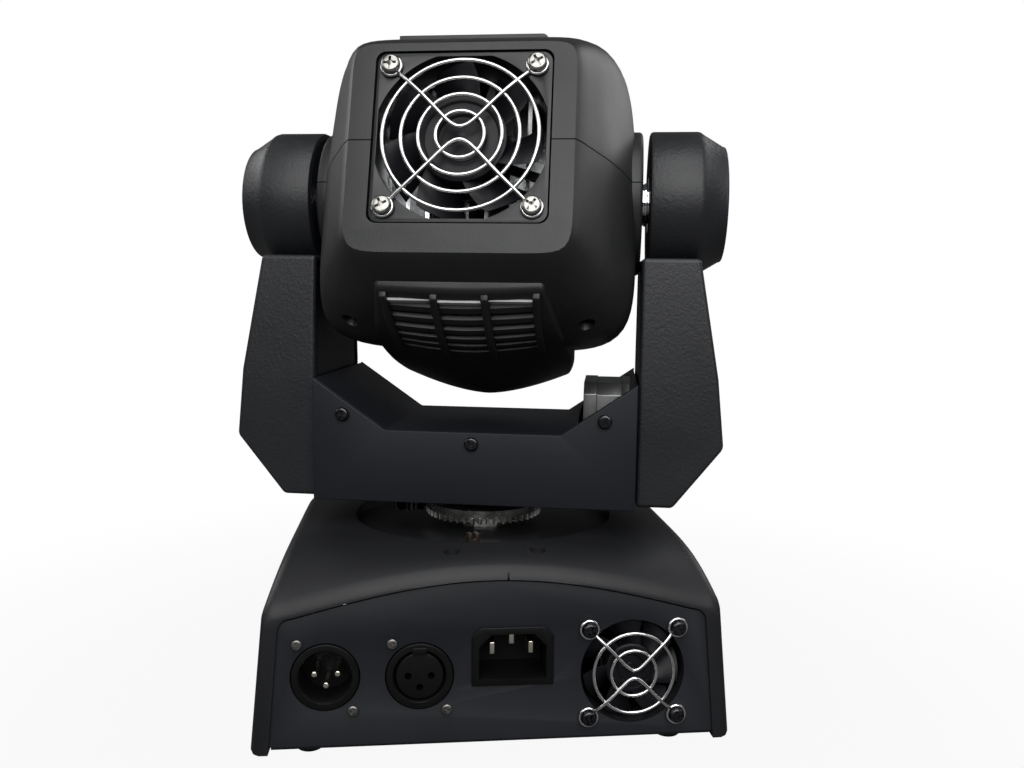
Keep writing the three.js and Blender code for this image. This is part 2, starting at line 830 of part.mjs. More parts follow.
function makeDataOutSocket() {
  const z = onPanel(dataOutHeight);
  const centre = [dataOutX, 0, z];
  const ring = [dataInsertRadius, dataCupRadius];
  const groove = tube('y', ...ring, -overrun, dataGrooveDepth, roundSides, centre);
  const holes = pinAngles.map((angle) => {
    const holeX = dataOutX + dataPinCircle * Math.cos(angle);
    const holeZ = z + dataPinCircle * Math.sin(angle);
    return rod('y', dataHoleRadius, -overrun, dataGrooveDepth, pinSides, [holeX, 0, holeZ]);
  });
  const latchFloor = z + dataInsertRadius - dataLatchHeight;
  const latchRoof = z + dataCupRadius + dataLatchHeight / 2;
  const latch = block(
    [dataOutX - dataLatchWidth / 2, socketProud, latchFloor],
    [dataOutX + dataLatchWidth / 2, dataGrooveDepth + overrun, latchRoof],
  );
  return join(cut(socketShell(dataOutX, dataOutHeight), groove, ...holes), latch);
}

// The inlet's outline has two bevelled upper corners.
function inletOutline(grow) {
  const halfWidth = inletCavityWidth / 2 + grow;
  const top = onPanel(inletHeight) + inletCavityHeight / 2 + grow;
  const bottom = top - inletCavityHeight - 2 * grow;
  return outline([
    [inletX - halfWidth, bottom],
    [inletX + halfWidth, bottom],
    [inletX + halfWidth, top - inletCorner],
    [inletX + halfWidth - inletCorner, top],
    [inletX - halfWidth + inletCorner, top],
    [inletX - halfWidth, top - inletCorner],
  ]);
}

function makeMainsInlet() {
  const bodyStart = -fit - inletFlangeThickness / 2;
  const body = plate('y', inletOutline(inletWall), bodyStart, inletCavityDepth + inletWall);
  const flange = plate('y', inletOutline(inletWall + inletFlangeLap), -fit - inletFlangeThickness, -fit);
  const cavity = plate('y', inletOutline(0), -overrun - inletFlangeThickness, inletCavityDepth);
  const rowHeight = onPanel(inletHeight) + inletPinRise;
  const pinPlaces = [[-inletPinSpacing, 0], [inletPinSpacing, 0], [0, inletEarthRise]];
  const pinTip = inletCavityDepth - inletPinLength;
  const pinRoot = inletCavityDepth + inletWall / 2;
  const pins = pinPlaces.map(([x, rise]) => {
    const left = inletX + x - inletPinWidth / 2;
    const low = rowHeight + rise - inletPinThickness / 2;
    return block([left, pinTip, low], [left + inletPinWidth, pinRoot, low + inletPinThickness]);
  });
  return join(cut(join(body, flange), cavity), ...pins);
}

// Fans stand along y with their open side at y = 0 and their struts at the far side.
function makeFanFrame(side, depth, bore, hub, spacing) {
  const body = plate('y', roundedRectangle(side, side, fanStrutWidth), 0, depth);
  const tunnel = rod('y', bore, -overrun, depth - fanFloor, fineSides);
  const outlet = tube('y', hub, bore, -overrun, depth + overrun, fineSides);
  const half = spacing / 2;
  const screwHole = rod('y', fanScrewRadius, -overrun, depth + overrun, pinSides);
  const screwHoles = [-1, 1].flatMap((left) =>
    [-1, 1].map((up) => screwHole.translate(left * half, 0, up * half)),
  );
  const strutHalf = fanStrutWidth / 2;
  const struts = [
    block([-bore - strutHalf, depth - fanFloor, -strutHalf], [bore + strutHalf, depth, strutHalf]),
    block([-strutHalf, depth - fanFloor, -bore - strutHalf], [strutHalf, depth, bore + strutHalf]),
  ];
  return join(cut(body, tunnel, outlet, ...screwHoles), ...struts);
}

// A blade is a skin through three narrow sections, twisted from root to tip.
function makeBlade(root, tip, depth) {
  const rings = bladeStationShares.map((share, i) => {
    const radius = mix(root, tip, share);
    const twist = radians(bladeTwists[i]);
    const chordLine = new THREE.Vector3(Math.cos(twist), Math.sin(twist), 0);
    const across = new THREE.Vector3(-chordLine.y, chordLine.x, 0);
    const middle = new THREE.Vector3(0, depth / 2, radius);
    const reach = (bladeChordShares[i] * depth) / 2;
    return [[1, 1], [-1, 1], [-1, -1], [1, -1]].map(([ahead, side]) =>
      middle
        .clone()
        .addScaledVector(chordLine, ahead * reach)
        .addScaledVector(across, (side * fanBladeThickness) / 2),
    );
  });
  return loft(rings);
}

function makeFanRotor(depth, bore, hub) {
  const back = depth - fanFloor - fit;
  const hubProfile = [
    [0, fanRotorInset],
    [hub - coverEdge, fanRotorInset],
    [hub, fanRotorInset + coverEdge],
    [hub, back],
    [0, back],
  ];
  const hubBody = turned('y', hubProfile, roundSides);
  const bladeDepth = back - fanRotorInset;
  const blade = makeBlade(hub - fanTipGap, bore - fanTipGap, bladeDepth);
  const limits = tube('y', hub - fanTipGap, bore - fanTipGap, fanRotorInset, back, fineSides);
  const placed = blade.translate(0, fanRotorInset, 0).intersect(limits);
  const step = fullCircle / fanBlades;
  const blades = Array.from({ length: fanBlades }, (_, i) => placed.rotate(0, i * step, 0));
  return join(hubBody, ...blades);
}

// A guard has rings behind, two bent wires over them and an eye round each screw.
function makeGuard(ringRadii, wire, spacing, eye) {
  const half = spacing / 2;
  const ringPlace = -guardStandOff;
  const wirePlace = ringPlace - guardPitchShare * wire;
  const rings = ringRadii.map((radius) => wireRing(radius, wire, [0, ringPlace, 0], roundSides));
  const bends = [-1, 1].map((up) => {
    const halfBend = (shares, left) =>
      shares.map(([along, away, off]) =>
        new THREE.Vector3(left * along * half, mix(-wire, wirePlace, off), up * away * half),
      );
    const back = guardWireShares.slice(0, -1).reverse();
    const points = [...halfBend(guardWireShares, -1), ...halfBend(back, 1)];
    return wireAlong(new THREE.CatmullRomCurve3(points), wire, 2 * wireSteps);
  });
  const eyes = [-1, 1].flatMap((left) =>
    [-1, 1].map((up) => wireRing(eye, wire, [left * half, -wire, up * half], eyeSides)),
  );
  return join(rings[0], ...rings.slice(1), ...bends, ...eyes);
}

// Front panel with a display window and a row of four keys.
function keyPlaces() {
  const z = onPanel(displayHeightOnPanel);
  return Array.from({ length: keyCount }, (_, i) => [keyRowX + i * keyPitch, z]);
}

function makeFrontPanel() {
  const sheet = makePanelSheet();
  const through = [-overrun, panelSheet + overrun];
  const opening = [displayWidth + 2 * fit, displayHeight + 2 * fit, displayCorner];
  const windowShape = roundedRectangle(...opening, displayX, onPanel(displayHeightOnPanel));
  const keyHoles = keyPlaces().map(([x, z]) =>
    rod('y', keyRadius + slidingFit, ...through, smallSides, [x, 0, z]),
  );
  return cut(sheet, plate('y', windowShape, ...through), ...keyHoles);
}

function makeDisplay() {
  const z = onPanel(displayHeightOnPanel);
  const face = roundedRectangle(displayWidth, displayHeight, displayCorner, displayX, z);
  const lap = 2 * keyFlange;
  const back = roundedRectangle(displayWidth + lap, displayHeight + lap, displayCorner, displayX, z);
  const backStart = panelSheet + fit;
  const window = plate('y', face, -displayProud, backStart);
  return join(window, plate('y', back, backStart, backStart + displayDepth));
}

function makeKey([x, z]) {
  const flangeStart = panelSheet + fit;
  const profile = [
    [0, -keyProud],
    [keyRadius - keyFlange / 2, -keyProud],
    [keyRadius, -keyProud + keyFlange / 2],
    [keyRadius, flangeStart],
    [keyRadius + keyFlange, flangeStart],
    [keyRadius + keyFlange, flangeStart + keyFlangeThickness],
    [0, flangeStart + keyFlangeThickness],
  ];
  return turned('y', profile, smallSides, [x, 0, z]);
}

// The control board stands behind the keys, with a switch body behind each key.
function makeControlBoard() {
  const start = panelSheet + fit + displayDepth + fit;
  const centreX = (keyRowX + displayX) / 2;
  const z = onPanel(displayHeightOnPanel);
  const shape = roundedRectangle(controlWidth, controlHeight, displayCorner, centreX, z);
  const sheet = plate('y', shape, start, start + boardThickness);
  const keyBack = panelSheet + fit + keyFlangeThickness + keyTravelRoom;
  const switches = keyPlaces().map(([x, height]) =>
    rod('y', keyRadius, keyBack, start, smallSides, [x, 0, height]),
  );
  const processorCentre = displayX - displayWidth / 4;
  const boardBack = start + boardThickness;
  const processor = block(
    [processorCentre, boardBack, z - processorSide / 2],
    [processorCentre + processorSide, boardBack + processorHeight, z + processorSide / 2],
  );
  return join(sheet, ...switches, processor);
}

function makeSupply() {
  const floor = bottomPlateTop + fit + standOff;
  const shape = roundedRectangle(supplyWidth, supplyDepth, standOffRadius, supplyX, supplyY);
  const sheet = plate('z', shape, floor, floor + boardThickness);
  const legX = supplyWidth / 2 - standOffRadius;
  const legY = supplyDepth / 2 - standOffRadius;
  const legs = [[-1, -1], [1, -1], [1, 1], [-1, 1]].map(([left, back]) => {
    const place = [supplyX + left * legX, supplyY + back * legY, 0];
    return rod('z', standOffRadius, bottomPlateTop + fit, floor, smallSides, place);
  });
  const top = floor + boardThickness;
  const transformer = block(
    [supplyX - transformerSide / 2, supplyY - transformerSide / 2, top],
    [supplyX + transformerSide / 2, supplyY + transformerSide / 2, top + transformerHeight],
  );
  const capacitors = [-1, 1].map((side) => {
    const place = [supplyX + side * capacitorPlace, supplyY, 0];
    return rod('z', capacitorRadius, top, top + capacitorHeight, smallSides, place);
  });
  return join(sheet, ...legs, transformer, ...capacitors);
}

function makeBottomPlate() {
  const halfWidth = baseHalfWidth - coverSideWall - bottomPlateInset;
  const halfDepth = baseHalfDepth - bottomPlateInset;
  const under = bottomPlateTop - bottomSheet;
  return block([-halfWidth, -halfDepth, under], [halfWidth, halfDepth, bottomPlateTop]);
}

function makeFoot(x, y) {
  const top = bottomPlateTop - bottomSheet - fit;
  const side = [[footRadius - footTaper, 0], [footRadius, top / 2], [footRadius, top]];
  const profile = [[0, 0], ...side, [0, top]];
  return turned('z', profile, smallSides, [x, y, 0]);
}

// A gear with straight-sided teeth; its first tooth points along x.
function gearOutline(teeth) {
  const pitchRadius = (teeth * gearModule) / 2;
  const root = pitchRadius - toothDepthShare * gearModule;
  const tip = pitchRadius + toothHeightShare * gearModule;
  const step = (2 * Math.PI) / teeth;
  const tooth = [
    [root, -toothRootShare],
    [tip, -toothTipShare],
    [tip, toothTipShare],
    [root, toothRootShare],
  ];
  const points = [];
  for (let i = 0; i < teeth; i++) {
    for (const [radius, share] of tooth) {
      const angle = (i + share) * step;
      points.push([radius * Math.cos(angle), radius * Math.sin(angle)]);
    }
  }
  return outline(points);
}

const pinionDistance = ((panGearTeeth + pinionTeeth) * gearModule) / 2;

function makePanGear() {
  const turn = panAtRest + halfCircle;
  const teeth = plate('z', gearOutline(panGearTeeth), gearBottom, gearTop).rotate(0, 0, turn);
  const hub = rod('z', gearHubRadius, dishFloor + fit, gearBottom + gearModule, roundSides);
  const bore = rod('z', postRadius + fit, dishFloor - overrun, gearTop + overrun, roundSides);
  return cut(join(teeth, hub), bore);
}

function makePanPinion() {
  const halfTooth = halfCircle / pinionTeeth;
  const teeth = plate('z', gearOutline(pinionTeeth), gearBottom, gearTop).rotate(0, 0, halfTooth);
  const shaft = rod('z', pinionShaftRadius, gearBottom, crossbarBottom + yokeSheet, smallSides);
  return join(teeth, shaft);
}

function makePost() {
  const flangeTop = dishFloor - coverRoofWall - fit;
  const flangeBottom = flangeTop - postFlangeThickness;
  return turned(
    'z',
    [
      [postBore, postBottom],
      [postRadius, postBottom],
      [postRadius, flangeBottom],
      [postFlangeRadius, flangeBottom],
      [postFlangeRadius, flangeTop],
      [postRadius, flangeTop],
      [postRadius, postTop],
      [postBore, postTop],
    ],
    roundSides,
  );
}

const bearingSeat = crossbarBottom + yokeSheet + fit;
const bearingBottom = crossbarBottom - fit;

function makePanBearing() {
  const inner = postRadius + fit;
  return turned(
    'z',
    [
      [inner, bearingBottom],
      [bearingRadius, bearingBottom],
      [bearingRadius, bearingSeat],
      [bearingFlangeRadius, bearingSeat],
      [bearingFlangeRadius, bearingSeat + bearingFlangeThickness],
      [inner, bearingSeat + bearingFlangeThickness],
    ],
    roundSides,
  );
}

// Yoke: a folded channel with sloped ends, a folded lid, two brackets and two arm covers.
function crossbarOutline() {
  return outline([
    [-crossbarHalfLength, crossbarBottom],
    [crossbarHalfLength, crossbarBottom],
    [crossbarHalfLength, crossbarEndTop],
    [crossbarFlatHalfLength, crossbarTop],
    [-crossbarFlatHalfLength, crossbarTop],
    [-crossbarHalfLength, crossbarEndTop],
  ]);
}

function makeYokeChannel() {
  const whole = plate('y', crossbarOutline(), -crossbarHalfDepth, crossbarHalfDepth);
  const insideHalf = crossbarHalfDepth - yokeSheet;
  const inside = block(
    [-crossbarHalfLength - overrun, -insideHalf, crossbarBottom + yokeSheet],
    [crossbarHalfLength + overrun, insideHalf, crossbarEndTop + overrun],
  );
  const below = crossbarBottom - overrun;
  const above = crossbarBottom + yokeSheet + overrun;
  const bearingHole = rod('z', bearingRadius + fit, below, above, roundSides);
  const shaftHole = rod('z', pinionShaftHole, below, above, smallSides, [-pinionDistance, 0, 0]);
  return cut(whole, inside, bearingHole, shaftHole);
}

function makeYokeLid() {
  const slope = Math.atan2(crossbarEndTop - crossbarTop, crossbarHalfLength - crossbarFlatHalfLength);
  const drop = yokeSheet / Math.cos(slope);
  const end = crossbarHalfLength - fit;
  const endTop = crossbarEndTop - fit * Math.tan(slope);
  const shape = outline([
    [-end, endTop - drop],
    [-crossbarFlatHalfLength, crossbarTop - yokeSheet],
    [crossbarFlatHalfLength, crossbarTop - yokeSheet],
    [end, endTop - drop],
    [end, endTop],
    [crossbarFlatHalfLength, crossbarTop],
    [-crossbarFlatHalfLength, crossbarTop],
    [-end, endTop],
  ]);
  const halfDepth = crossbarHalfDepth - yokeSheet - fit;
  const lid = plate('y', shape, -halfDepth, halfDepth);
  const motorWindow = block(
    [windowStart, -windowRear, crossbarBottom],
    [windowEnd, windowFront, crossbarEndTop + overrun],
  );
  return cut(lid, motorWindow);
}

function makePanMotor() {
  const bottom = crossbarBottom + yokeSheet + fit;
  const body = roundedRectangle(panMotorSide, panMotorSide, panMotorCorner, -pinionDistance, 0);
  const waist = panMotorSide - panMotorCorner / 2;
  const stack = roundedRectangle(waist, waist, panMotorCorner, -pinionDistance, 0);
  return join(
    plate('z', body, bottom, bottom + panMotorPlate),
    plate('z', stack, bottom + panMotorPlate, bottom + panMotorLength - panMotorPlate),
    plate('z', body, bottom + panMotorLength - panMotorPlate, bottom + panMotorLength),
  );
}

function makeTiltMotor() {
  const canEnd = tiltMotorStart + tiltMotorCanLength;
  const neckEnd = armInner - fit;
  const edge = drumEdge;
  return turned(
    'x',
    [
      [0, tiltMotorStart],
      [tiltMotorRadius - edge, tiltMotorStart],
      [tiltMotorRadius, tiltMotorStart + edge],
      [tiltMotorRadius, canEnd],
      [tiltMotorRadius - edge, canEnd],
      [tiltMotorRadius - edge, canEnd + tiltMotorCap],
      [tiltMotorNeckRadius, canEnd + tiltMotorCap],
      [tiltMotorNeckRadius, neckEnd],
      [0, neckEnd],
    ],
    roundSides,
    [0, 0, tiltMotorHeight],
  );
}

// A level section of an arm: square on the inner side, rounded at the two outer corners.
function armRing(z, inner, outer, halfDepth, edge) {
  const corner = armCornerShares.map(([x, y]) => [outer - x * edge, halfDepth - y * edge]);
  const half = [...corner, [inner, halfDepth]];
  const other = half.map(([x, y]) => [x, -y]).reverse();
  return [...half, ...other].map(([x, y]) => new THREE.Vector3(x, y, z));
}

function armSkin(wall, inner) {
  const edge = Math.max(armEdge - wall / 2, armEdge / 2);
  return loft([
    armRing(crossbarBottom + wall, inner, armBottomOuter - wall, armBottomHalfDepth - wall, edge),
    armRing(armElbowHeight, inner, armElbowOuter - wall, armElbowHalfDepth - wall, edge),
    armRing(armRidgeHeight, inner, armRidgeOuter - wall, armRidgeHalfDepth - wall, edge),
    armRing(armTopHeight - wall, inner, armTopOuter - wall, armTopHalfDepth - wall, edge),
  ]);
}

function drumSkin(wall, inner) {
  const radius = drumRadius - wall;
  return turned(
    'x',
    [
      [0, inner],
      [radius, inner],
      [radius, drumShoulder - drumEdge],
      [radius - drumEdge / 2, drumShoulder],
      [drumFaceRadius - wall + drumEdge, drumFace - wall - drumEdge],
      [drumFaceRadius - wall - drumEdge, drumFace - wall],
      [0, drumFace - wall],
    ],
    fineSides,
    [0, 0, tiltHeight],
  );
}

function makeArmCover(side) {
  const outside = join(armSkin(0, armInner), drumSkin(0, drumInner));
  const inside = join(armSkin(armWall, armInner - overrun), drumSkin(armWall, drumInner - overrun));
  const beltPass = block(
    [armInner - overrun, -beltPassHalfWidth, armTopHeight - 2 * armWall],
    [armTopOuter - armWall, beltPassHalfWidth, tiltHeight],
  );
  const cover = cut(outside, inside, beltPass);
  return side > 0 ? cover : cover.mirror([1, 0, 0]);
}

function makeBracket(side) {
  const foot = crossbarBottom + armWall + fit;
  const gap = armWall + fit;
  const neck = armTopHeight - 2 * armWall;
  const shape = outline([
    [-armBottomHalfDepth + gap, foot],
    [armBottomHalfDepth - gap, foot],
    [armTopHalfDepth - gap, neck],
    [-armTopHalfDepth + gap, neck],
  ]);
  const neckShape = outline([
    [-beltPassHalfWidth + fit, neck - armWall],
    [beltPassHalfWidth - fit, neck - armWall],
    [beltPassHalfWidth - fit, tiltHeight],
    [-beltPassHalfWidth + fit, tiltHeight],
  ]);
  const strip = plate('x', shape, armInner + fit, drumInner + bracketSheet);
  const upper = plate('x', neckShape, drumInner, drumInner + bracketSheet);
  const axis = [0, 0, tiltHeight];
  const disc = rod('x', drumRadius - gap, drumInner, drumInner + bracketSheet, fineSides, axis);
  const bearingHole = rod('x', tiltBearingRadius + fit, armInner, drumFace, roundSides, axis);
  const motorHole = rod('x', bushRadius, armInner, drumFace, roundSides, [0, 0, tiltMotorHeight]);
  const bracket = cut(join(strip, upper, disc), bearingHole, motorHole);
  return side > 0 ? bracket : bracket.mirror([1, 0, 0]);
}

function makeTiltBearing(side) {
  const inner = journalRadius + fit;
  const seat = drumInner + bracketSheet + fit;
  const bearing = turned(
    'x',
    [
      [inner, drumInner],
      [tiltBearingRadius, drumInner],
      [tiltBearingRadius, seat],
      [tiltBearingRadius + tiltBearingLip, seat],
      [tiltBearingRadius + tiltBearingLip, seat + tiltBearingLip],
      [tiltBearingRadius, seat + tiltBearingLip],
      [tiltBearingRadius, drumInner + tiltBearingLength],
      [inner, drumInner + tiltBearingLength],
    ],
    roundSides,
    [0, 0, tiltHeight],
  );
  return side > 0 ? bearing : bearing.mirror([1, 0, 0]);
}

function pulleyProfile(radius, bore) {
  const end = pulleyStart + pulleyWidth;
  const rim = radius + pulleyFlangeRise;
  return [
    [bore, pulleyStart - pulleyFlange],
    [rim, pulleyStart - pulleyFlange],
    [rim, pulleyStart],
    [radius, pulleyStart],
    [radius, end],
    [rim, end],
    [rim, end + pulleyFlange],
    [bore, end + pulleyFlange],
  ];
}

function makeMotorPulley() {
  const axis = [0, 0, tiltMotorHeight];
  const pulley = turned('x', pulleyProfile(motorPulleyRadius, 0), roundSides, axis);
  const shaft = rod('x', pinionShaftRadius, armInner, pulleyStart, smallSides, axis);
  return join(pulley, shaft);
}

// The belt runs straight between the two pulleys on their common outer tangents.
function beltOutline(grow) {
  const large = tiltPulleyRadius + grow;
  const small = motorPulleyRadius + grow;
  const tangent = Math.asin((large - small) / (tiltHeight - tiltMotorHeight));
  const shape = new THREE.Shape();
  shape.absarc(0, tiltHeight, large, -tangent, Math.PI + tangent, false);
  shape.absarc(0, tiltMotorHeight, small, Math.PI + tangent, 2 * Math.PI - tangent, false);
  shape.closePath();
  return shape;
}

function makeBelt() {
  const from = pulleyStart + fit;
  const to = pulleyStart + pulleyWidth - fit;
  return cut(
    plate('x', beltOutline(fit + beltThickness), from, to, beltSteps),
    plate('x', beltOutline(fit), from - overrun, to + overrun, beltSteps),
  );
}

// Head shell: skins through rings of squared ovals.
function ovalPoint(angle, halfWidth, top, bottom, squareTop, squareBottom) {
  const square = Math.sin(angle) >= 0 ? squareTop : squareBottom;
  const reach = Math.sin(angle) >= 0 ? top : bottom;
  const x = Math.sign(Math.cos(angle)) * Math.abs(Math.cos(angle)) ** (2 / square) * halfWidth;
  const z = Math.sign(Math.sin(angle)) * Math.abs(Math.sin(angle)) ** (2 / square) * reach;
  return [x, z];
}

const headPlace = (share) => (share < 0 ? share * headRear : share * headFront);

function headSkin(wall, rearWall, runPast) {
  const last = headSectionShares.length - 1;
  const rings = headSectionShares.map(([along, width, top, bottom, squareTop, squareBottom], i) => {
    const rearMost = -headRear + rearWall + i * weld;
    const y = i === last ? headFront + runPast : Math.max(headPlace(along), rearMost);
    const taper = headTaperShare * Math.min((along + 1) / taperStartShare, 1);
    const sizes = [headHalfWidth * width - wall, headTop * top - wall, headBottom * bottom - wall];
    return Array.from({ length: headSides }, (_, step) => {
      const angle = (2 * Math.PI * step) / headSides;
      const [x, z] = ovalPoint(angle, ...sizes, squareTop, squareBottom);
      const narrowing = 1 - (taper * Math.max(z, 0)) / sizes[1];
      return new THREE.Vector3(x * narrowing, y, z);
    });
  });
  return loft(rings);
}

// A section of the belly: two upright walls and an arch between their lower edges.
function keelRing(y, halfWidth, deepest, arch) {
  const points = [new THREE.Vector3(halfWidth, y, -keelRoof)];
  for (let i = 0; i <= keelSteps; i++) {
    const across = 1 - (2 * i) / keelSteps;
    const rise = arch * Math.abs(across) ** keelArchPower;
    points.push(new THREE.Vector3(halfWidth * across, y, rise - deepest));
  }
  return [...points, new THREE.Vector3(-halfWidth, y, -keelRoof)];
}

function keelSkin(wall) {
  const last = keelSectionShares.length - 1;
  const rings = keelSectionShares.map(([along, width, depth, arch], i) => {
    const inwards = (i === 0 ? wall : 0) - (i === last ? wall : 0);
    const sizes = [keelHalfWidth * width - wall, keelBottom * depth - wall, keelArch * arch];
    return keelRing(headPlace(along) + inwards, ...sizes);
  });
  return loft(rings);
}

// The spine is the part of a slightly larger skin that lies over the middle of the top.
function makeSpine() {
  const raised = headSkin(-spineRise, 0, 0);
  const rearEnd = headPlace(headSectionShares[2][0]);
  const frontEnd = headPlace(headSectionShares[6][0]);
  const limits = block(
    [-spineHalfWidth, rearEnd, headTop / 2],
    [spineHalfWidth, frontEnd, headTop + headRear],
  );
  return raised.intersect(limits);
}

// Where the outer skin of the belly lies at a place along the head, x to the side.
function keelDepth(place, x) {
  const next = Math.max(keelSectionShares.findIndex(([along]) => headPlace(along) > place), 1);
  const [from, to] = [keelSectionShares[next - 1], keelSectionShares[next]];
  const share = (place - headPlace(from[0])) / (headPlace(to[0]) - headPlace(from[0]));
  const [halfWidth, deepest, arch] = [keelHalfWidth, keelBottom, keelArch].map(
    (size, i) => size * mix(from[i + 1], to[i + 1], share),
  );
  return arch * Math.min(Math.abs(x) / halfWidth, 1) ** keelArchPower - deepest;
}

function makeVentSlots() {
  const slotWidth = ribPitch - ribWidth;
  const slots = [];
  for (let row = 0; row < slotRows; row++) {
    const place = -slotFirst + row * slotPitch;
    for (let column = 0; column < slotColumns; column++) {
      const x = (column - (slotColumns - 1) / 2) * ribPitch;
      const depth = keelDepth(place, x);
      slots.push(
        block(
          [x - slotWidth / 2, place - slotHeight / 2, depth - 2 * overrun],
          [x + slotWidth / 2, place + slotHeight / 2, depth + 2 * overrun],
        ),
      );
    }
  }
  return slots;
}

function makeVentRibs() {
  const bends = keelSectionShares.map(([along]) => headPlace(along));
  const inside = bends.filter((place) => place > -ribStart && place < -ribEnd);
  const places = [-ribStart, ...inside, -ribEnd];
  return Array.from({ length: slotColumns + 1 }, (_, i) => {
    const x = (i - slotColumns / 2) * ribPitch;
    const proud = places.map((place) => [place, keelDepth(place, x) - ribRise]);
    const rooted = places.map((place) => [place, keelDepth(place, x) + headWall / 2]);
    return plate('x', outline([...proud, ...rooted.reverse()]), x - ribWidth / 2, x + ribWidth / 2);
  });
}

function makeHeadShell() {
  const bosses = [-1, 1].map((side) => {
    const boss = rod('x', sideBossRadius, headHalfWidth / 2, sideBossFace, roundSides);
    return side > 0 ? boss : boss.mirror([1, 0, 0]);
  });
  const outside = join(headSkin(0, 0, 0), keelSkin(0), makeSpine(), ...bosses);
  const inside = join(headSkin(headWall, headRearWall, overrun), keelSkin(headWall));
  const recess = roundedRectangle(fanRecessSide, fanRecessSide, fanRecessCorner);
  const cutters = [
    plate('y', recess, -headRear - overrun, -headRear + fanRecessDepth),
    rod('y', headFanBore, -headRear - overrun, -headRear + headRearWall + overrun, fineSides),
    rod('y', frontHoleRadius, headFront / 2, headFront + overrun, fineSides),
    rod('x', bushRadius + fit, -sideBossFace - overrun, sideBossFace + overrun, roundSides),
    ...makeVentSlots(),
  ];
  const pocketRoof = -keelHalfWidth - pocketDepth;
  const pockets = [-1, 1].map((side) => {
    const centre = [side * headScrewPocketX, -headScrewPocketPlace, 0];
    return rod('z', pocketRadius, -headBottom - keelBottom, pocketRoof, smallSides, centre);
  });
  return cut(join(cut(outside, inside), ...makeVentRibs()), ...cutters, ...pockets);
}

function makeHeadHalves() {
  const shell = makeHeadShell();
  const reach = 2 * (headRear + headTop);
  const seam = -headSeamDrop;
  const upper = block([-reach, -reach, seam + fit / 2], [reach, reach, reach]);
  const lower = block([-reach, -reach, -reach], [reach, reach, seam - fit / 2]);
  return [shell.intersect(upper), shell.intersect(lower)];
}

function makeShaft(side) {
  const flangeStart = frameSideOuter + fit;
  const end = side > 0 ? shaftEndRight : shaftEndLeft;
  const bushEnd = drumInner - fit;
  const shaft = turned(
    'x',
    [
      [shaftBore, flangeStart],
      [shaftFlangeRadius, flangeStart],
      [shaftFlangeRadius, flangeStart + shaftFlangeThickness],
      [bushRadius, flangeStart + shaftFlangeThickness],
      [bushRadius, bushEnd],
      [journalRadius, bushEnd],
      [journalRadius, end],
      [shaftBore, end],
    ],
    roundSides,
  );
  return side > 0 ? shaft : shaft.mirror([1, 0, 0]);
}

// Frame in the head: a plate across the beam between two side cheeks that hold the shafts.
function makeOpticsFrame() {
  const inner = frameSideOuter - frameSheet;
  const cheekShape = roundedRectangle(2 * frameRear, 2 * frameHalfHeight, wheelHubRadius);
  const rightCheek = plate('x', cheekShape, inner, frameSideOuter);
  const cheeks = [rightCheek, rightCheek.mirror([1, 0, 0])];
  const acrossShape = roundedRectangle(2 * frameSideOuter, 2 * framePlateHalfHeight, frameSheet);
  const across = plate('y', acrossShape, 0, frameSheet);
  const lensHole = rod('y', condenserRadius + fit, -overrun, frameSheet + overrun, roundSides);
  const shaftHoles = [-1, 1].map((side) => {
    const [x, z] = wheelCentre(side);
    return rod('y', wheelShaftHole, -overrun, frameSheet + overrun, smallSides, [x, 0, z]);
  });
  const wireHole = rod('x', shaftBore, -frameSideOuter - overrun, frameSideOuter + overrun, smallSides);
  return cut(join(across, ...cheeks), lensHole, ...shaftHoles, wireHole);
}

function wheelCentre(side) {
  return [side * wheelOffset * Math.SQRT1_2, wheelOffset * Math.SQRT1_2];
}

function makeHeatSink() {
  const baseHalfWidth = frameSideOuter - frameSheet - fit;
  const baseShape = roundedRectangle(2 * baseHalfWidth, 2 * frameHalfHeight, wheelHubRadius);
  const baseStart = -heatSinkFront - heatSinkBase;
  const baseBlock = block(
    [-heatSinkHalfWidth, baseStart, -heatSinkBottom],
    [heatSinkHalfWidth, -heatSinkFront, heatSinkTop],
  );
  const pitch = (2 * heatSinkHalfWidth - heatSinkFin) / (heatSinkFins - 1);
  const finRoot = baseStart + heatSinkBase / 2;
  const fins = Array.from({ length: heatSinkFins }, (_, i) => {
    const x = -heatSinkHalfWidth + i * pitch;
    return block([x, -heatSinkRear, -heatSinkBottom], [x + heatSinkFin, finRoot, heatSinkTop]);
  });
  return join(plate('y', baseShape, baseStart, -heatSinkFront), baseBlock, ...fins);
}

function makeEmitter() {
  const start = -heatSinkFront + fit;
  const front = start + emitterBoard;
  const shape = roundedRectangle(emitterBoardSide, emitterBoardSide, emitterBoard);
  const board = plate('y', shape, start, front);
  const crown = front + emitterHeight;
  const side = [[emitterRadius, start], [emitterRadius, front], [emitterRadius / 2, crown]];
  const dome = turned('y', [[0, start], ...side, [0, crown]], smallSides);
  return join(board, dome);
}

// A lens thick in the middle. Its faces swell by the crowns given, inside a flat rim on the front.
function makeLens(sides, radius, from, to, rearCrown, frontCrown, rim = 0) {
  const steps = 2;
  const profile = [[0, from - rearCrown]];
  for (let i = 1; i <= steps; i++) {
    const share = i / steps;
    profile.push([radius * share, from - rearCrown * (1 - share ** 2)]);
  }
  if (rim > 0) profile.push([radius, to]);
  for (let i = steps; i > 0; i--) {
    const share = i / steps;
    profile.push([(radius - rim) * share, to + frontCrown * (1 - share ** 2)]);
  }
  profile.push([0, to + frontCrown]);
  return turned('y', profile, sides);
}

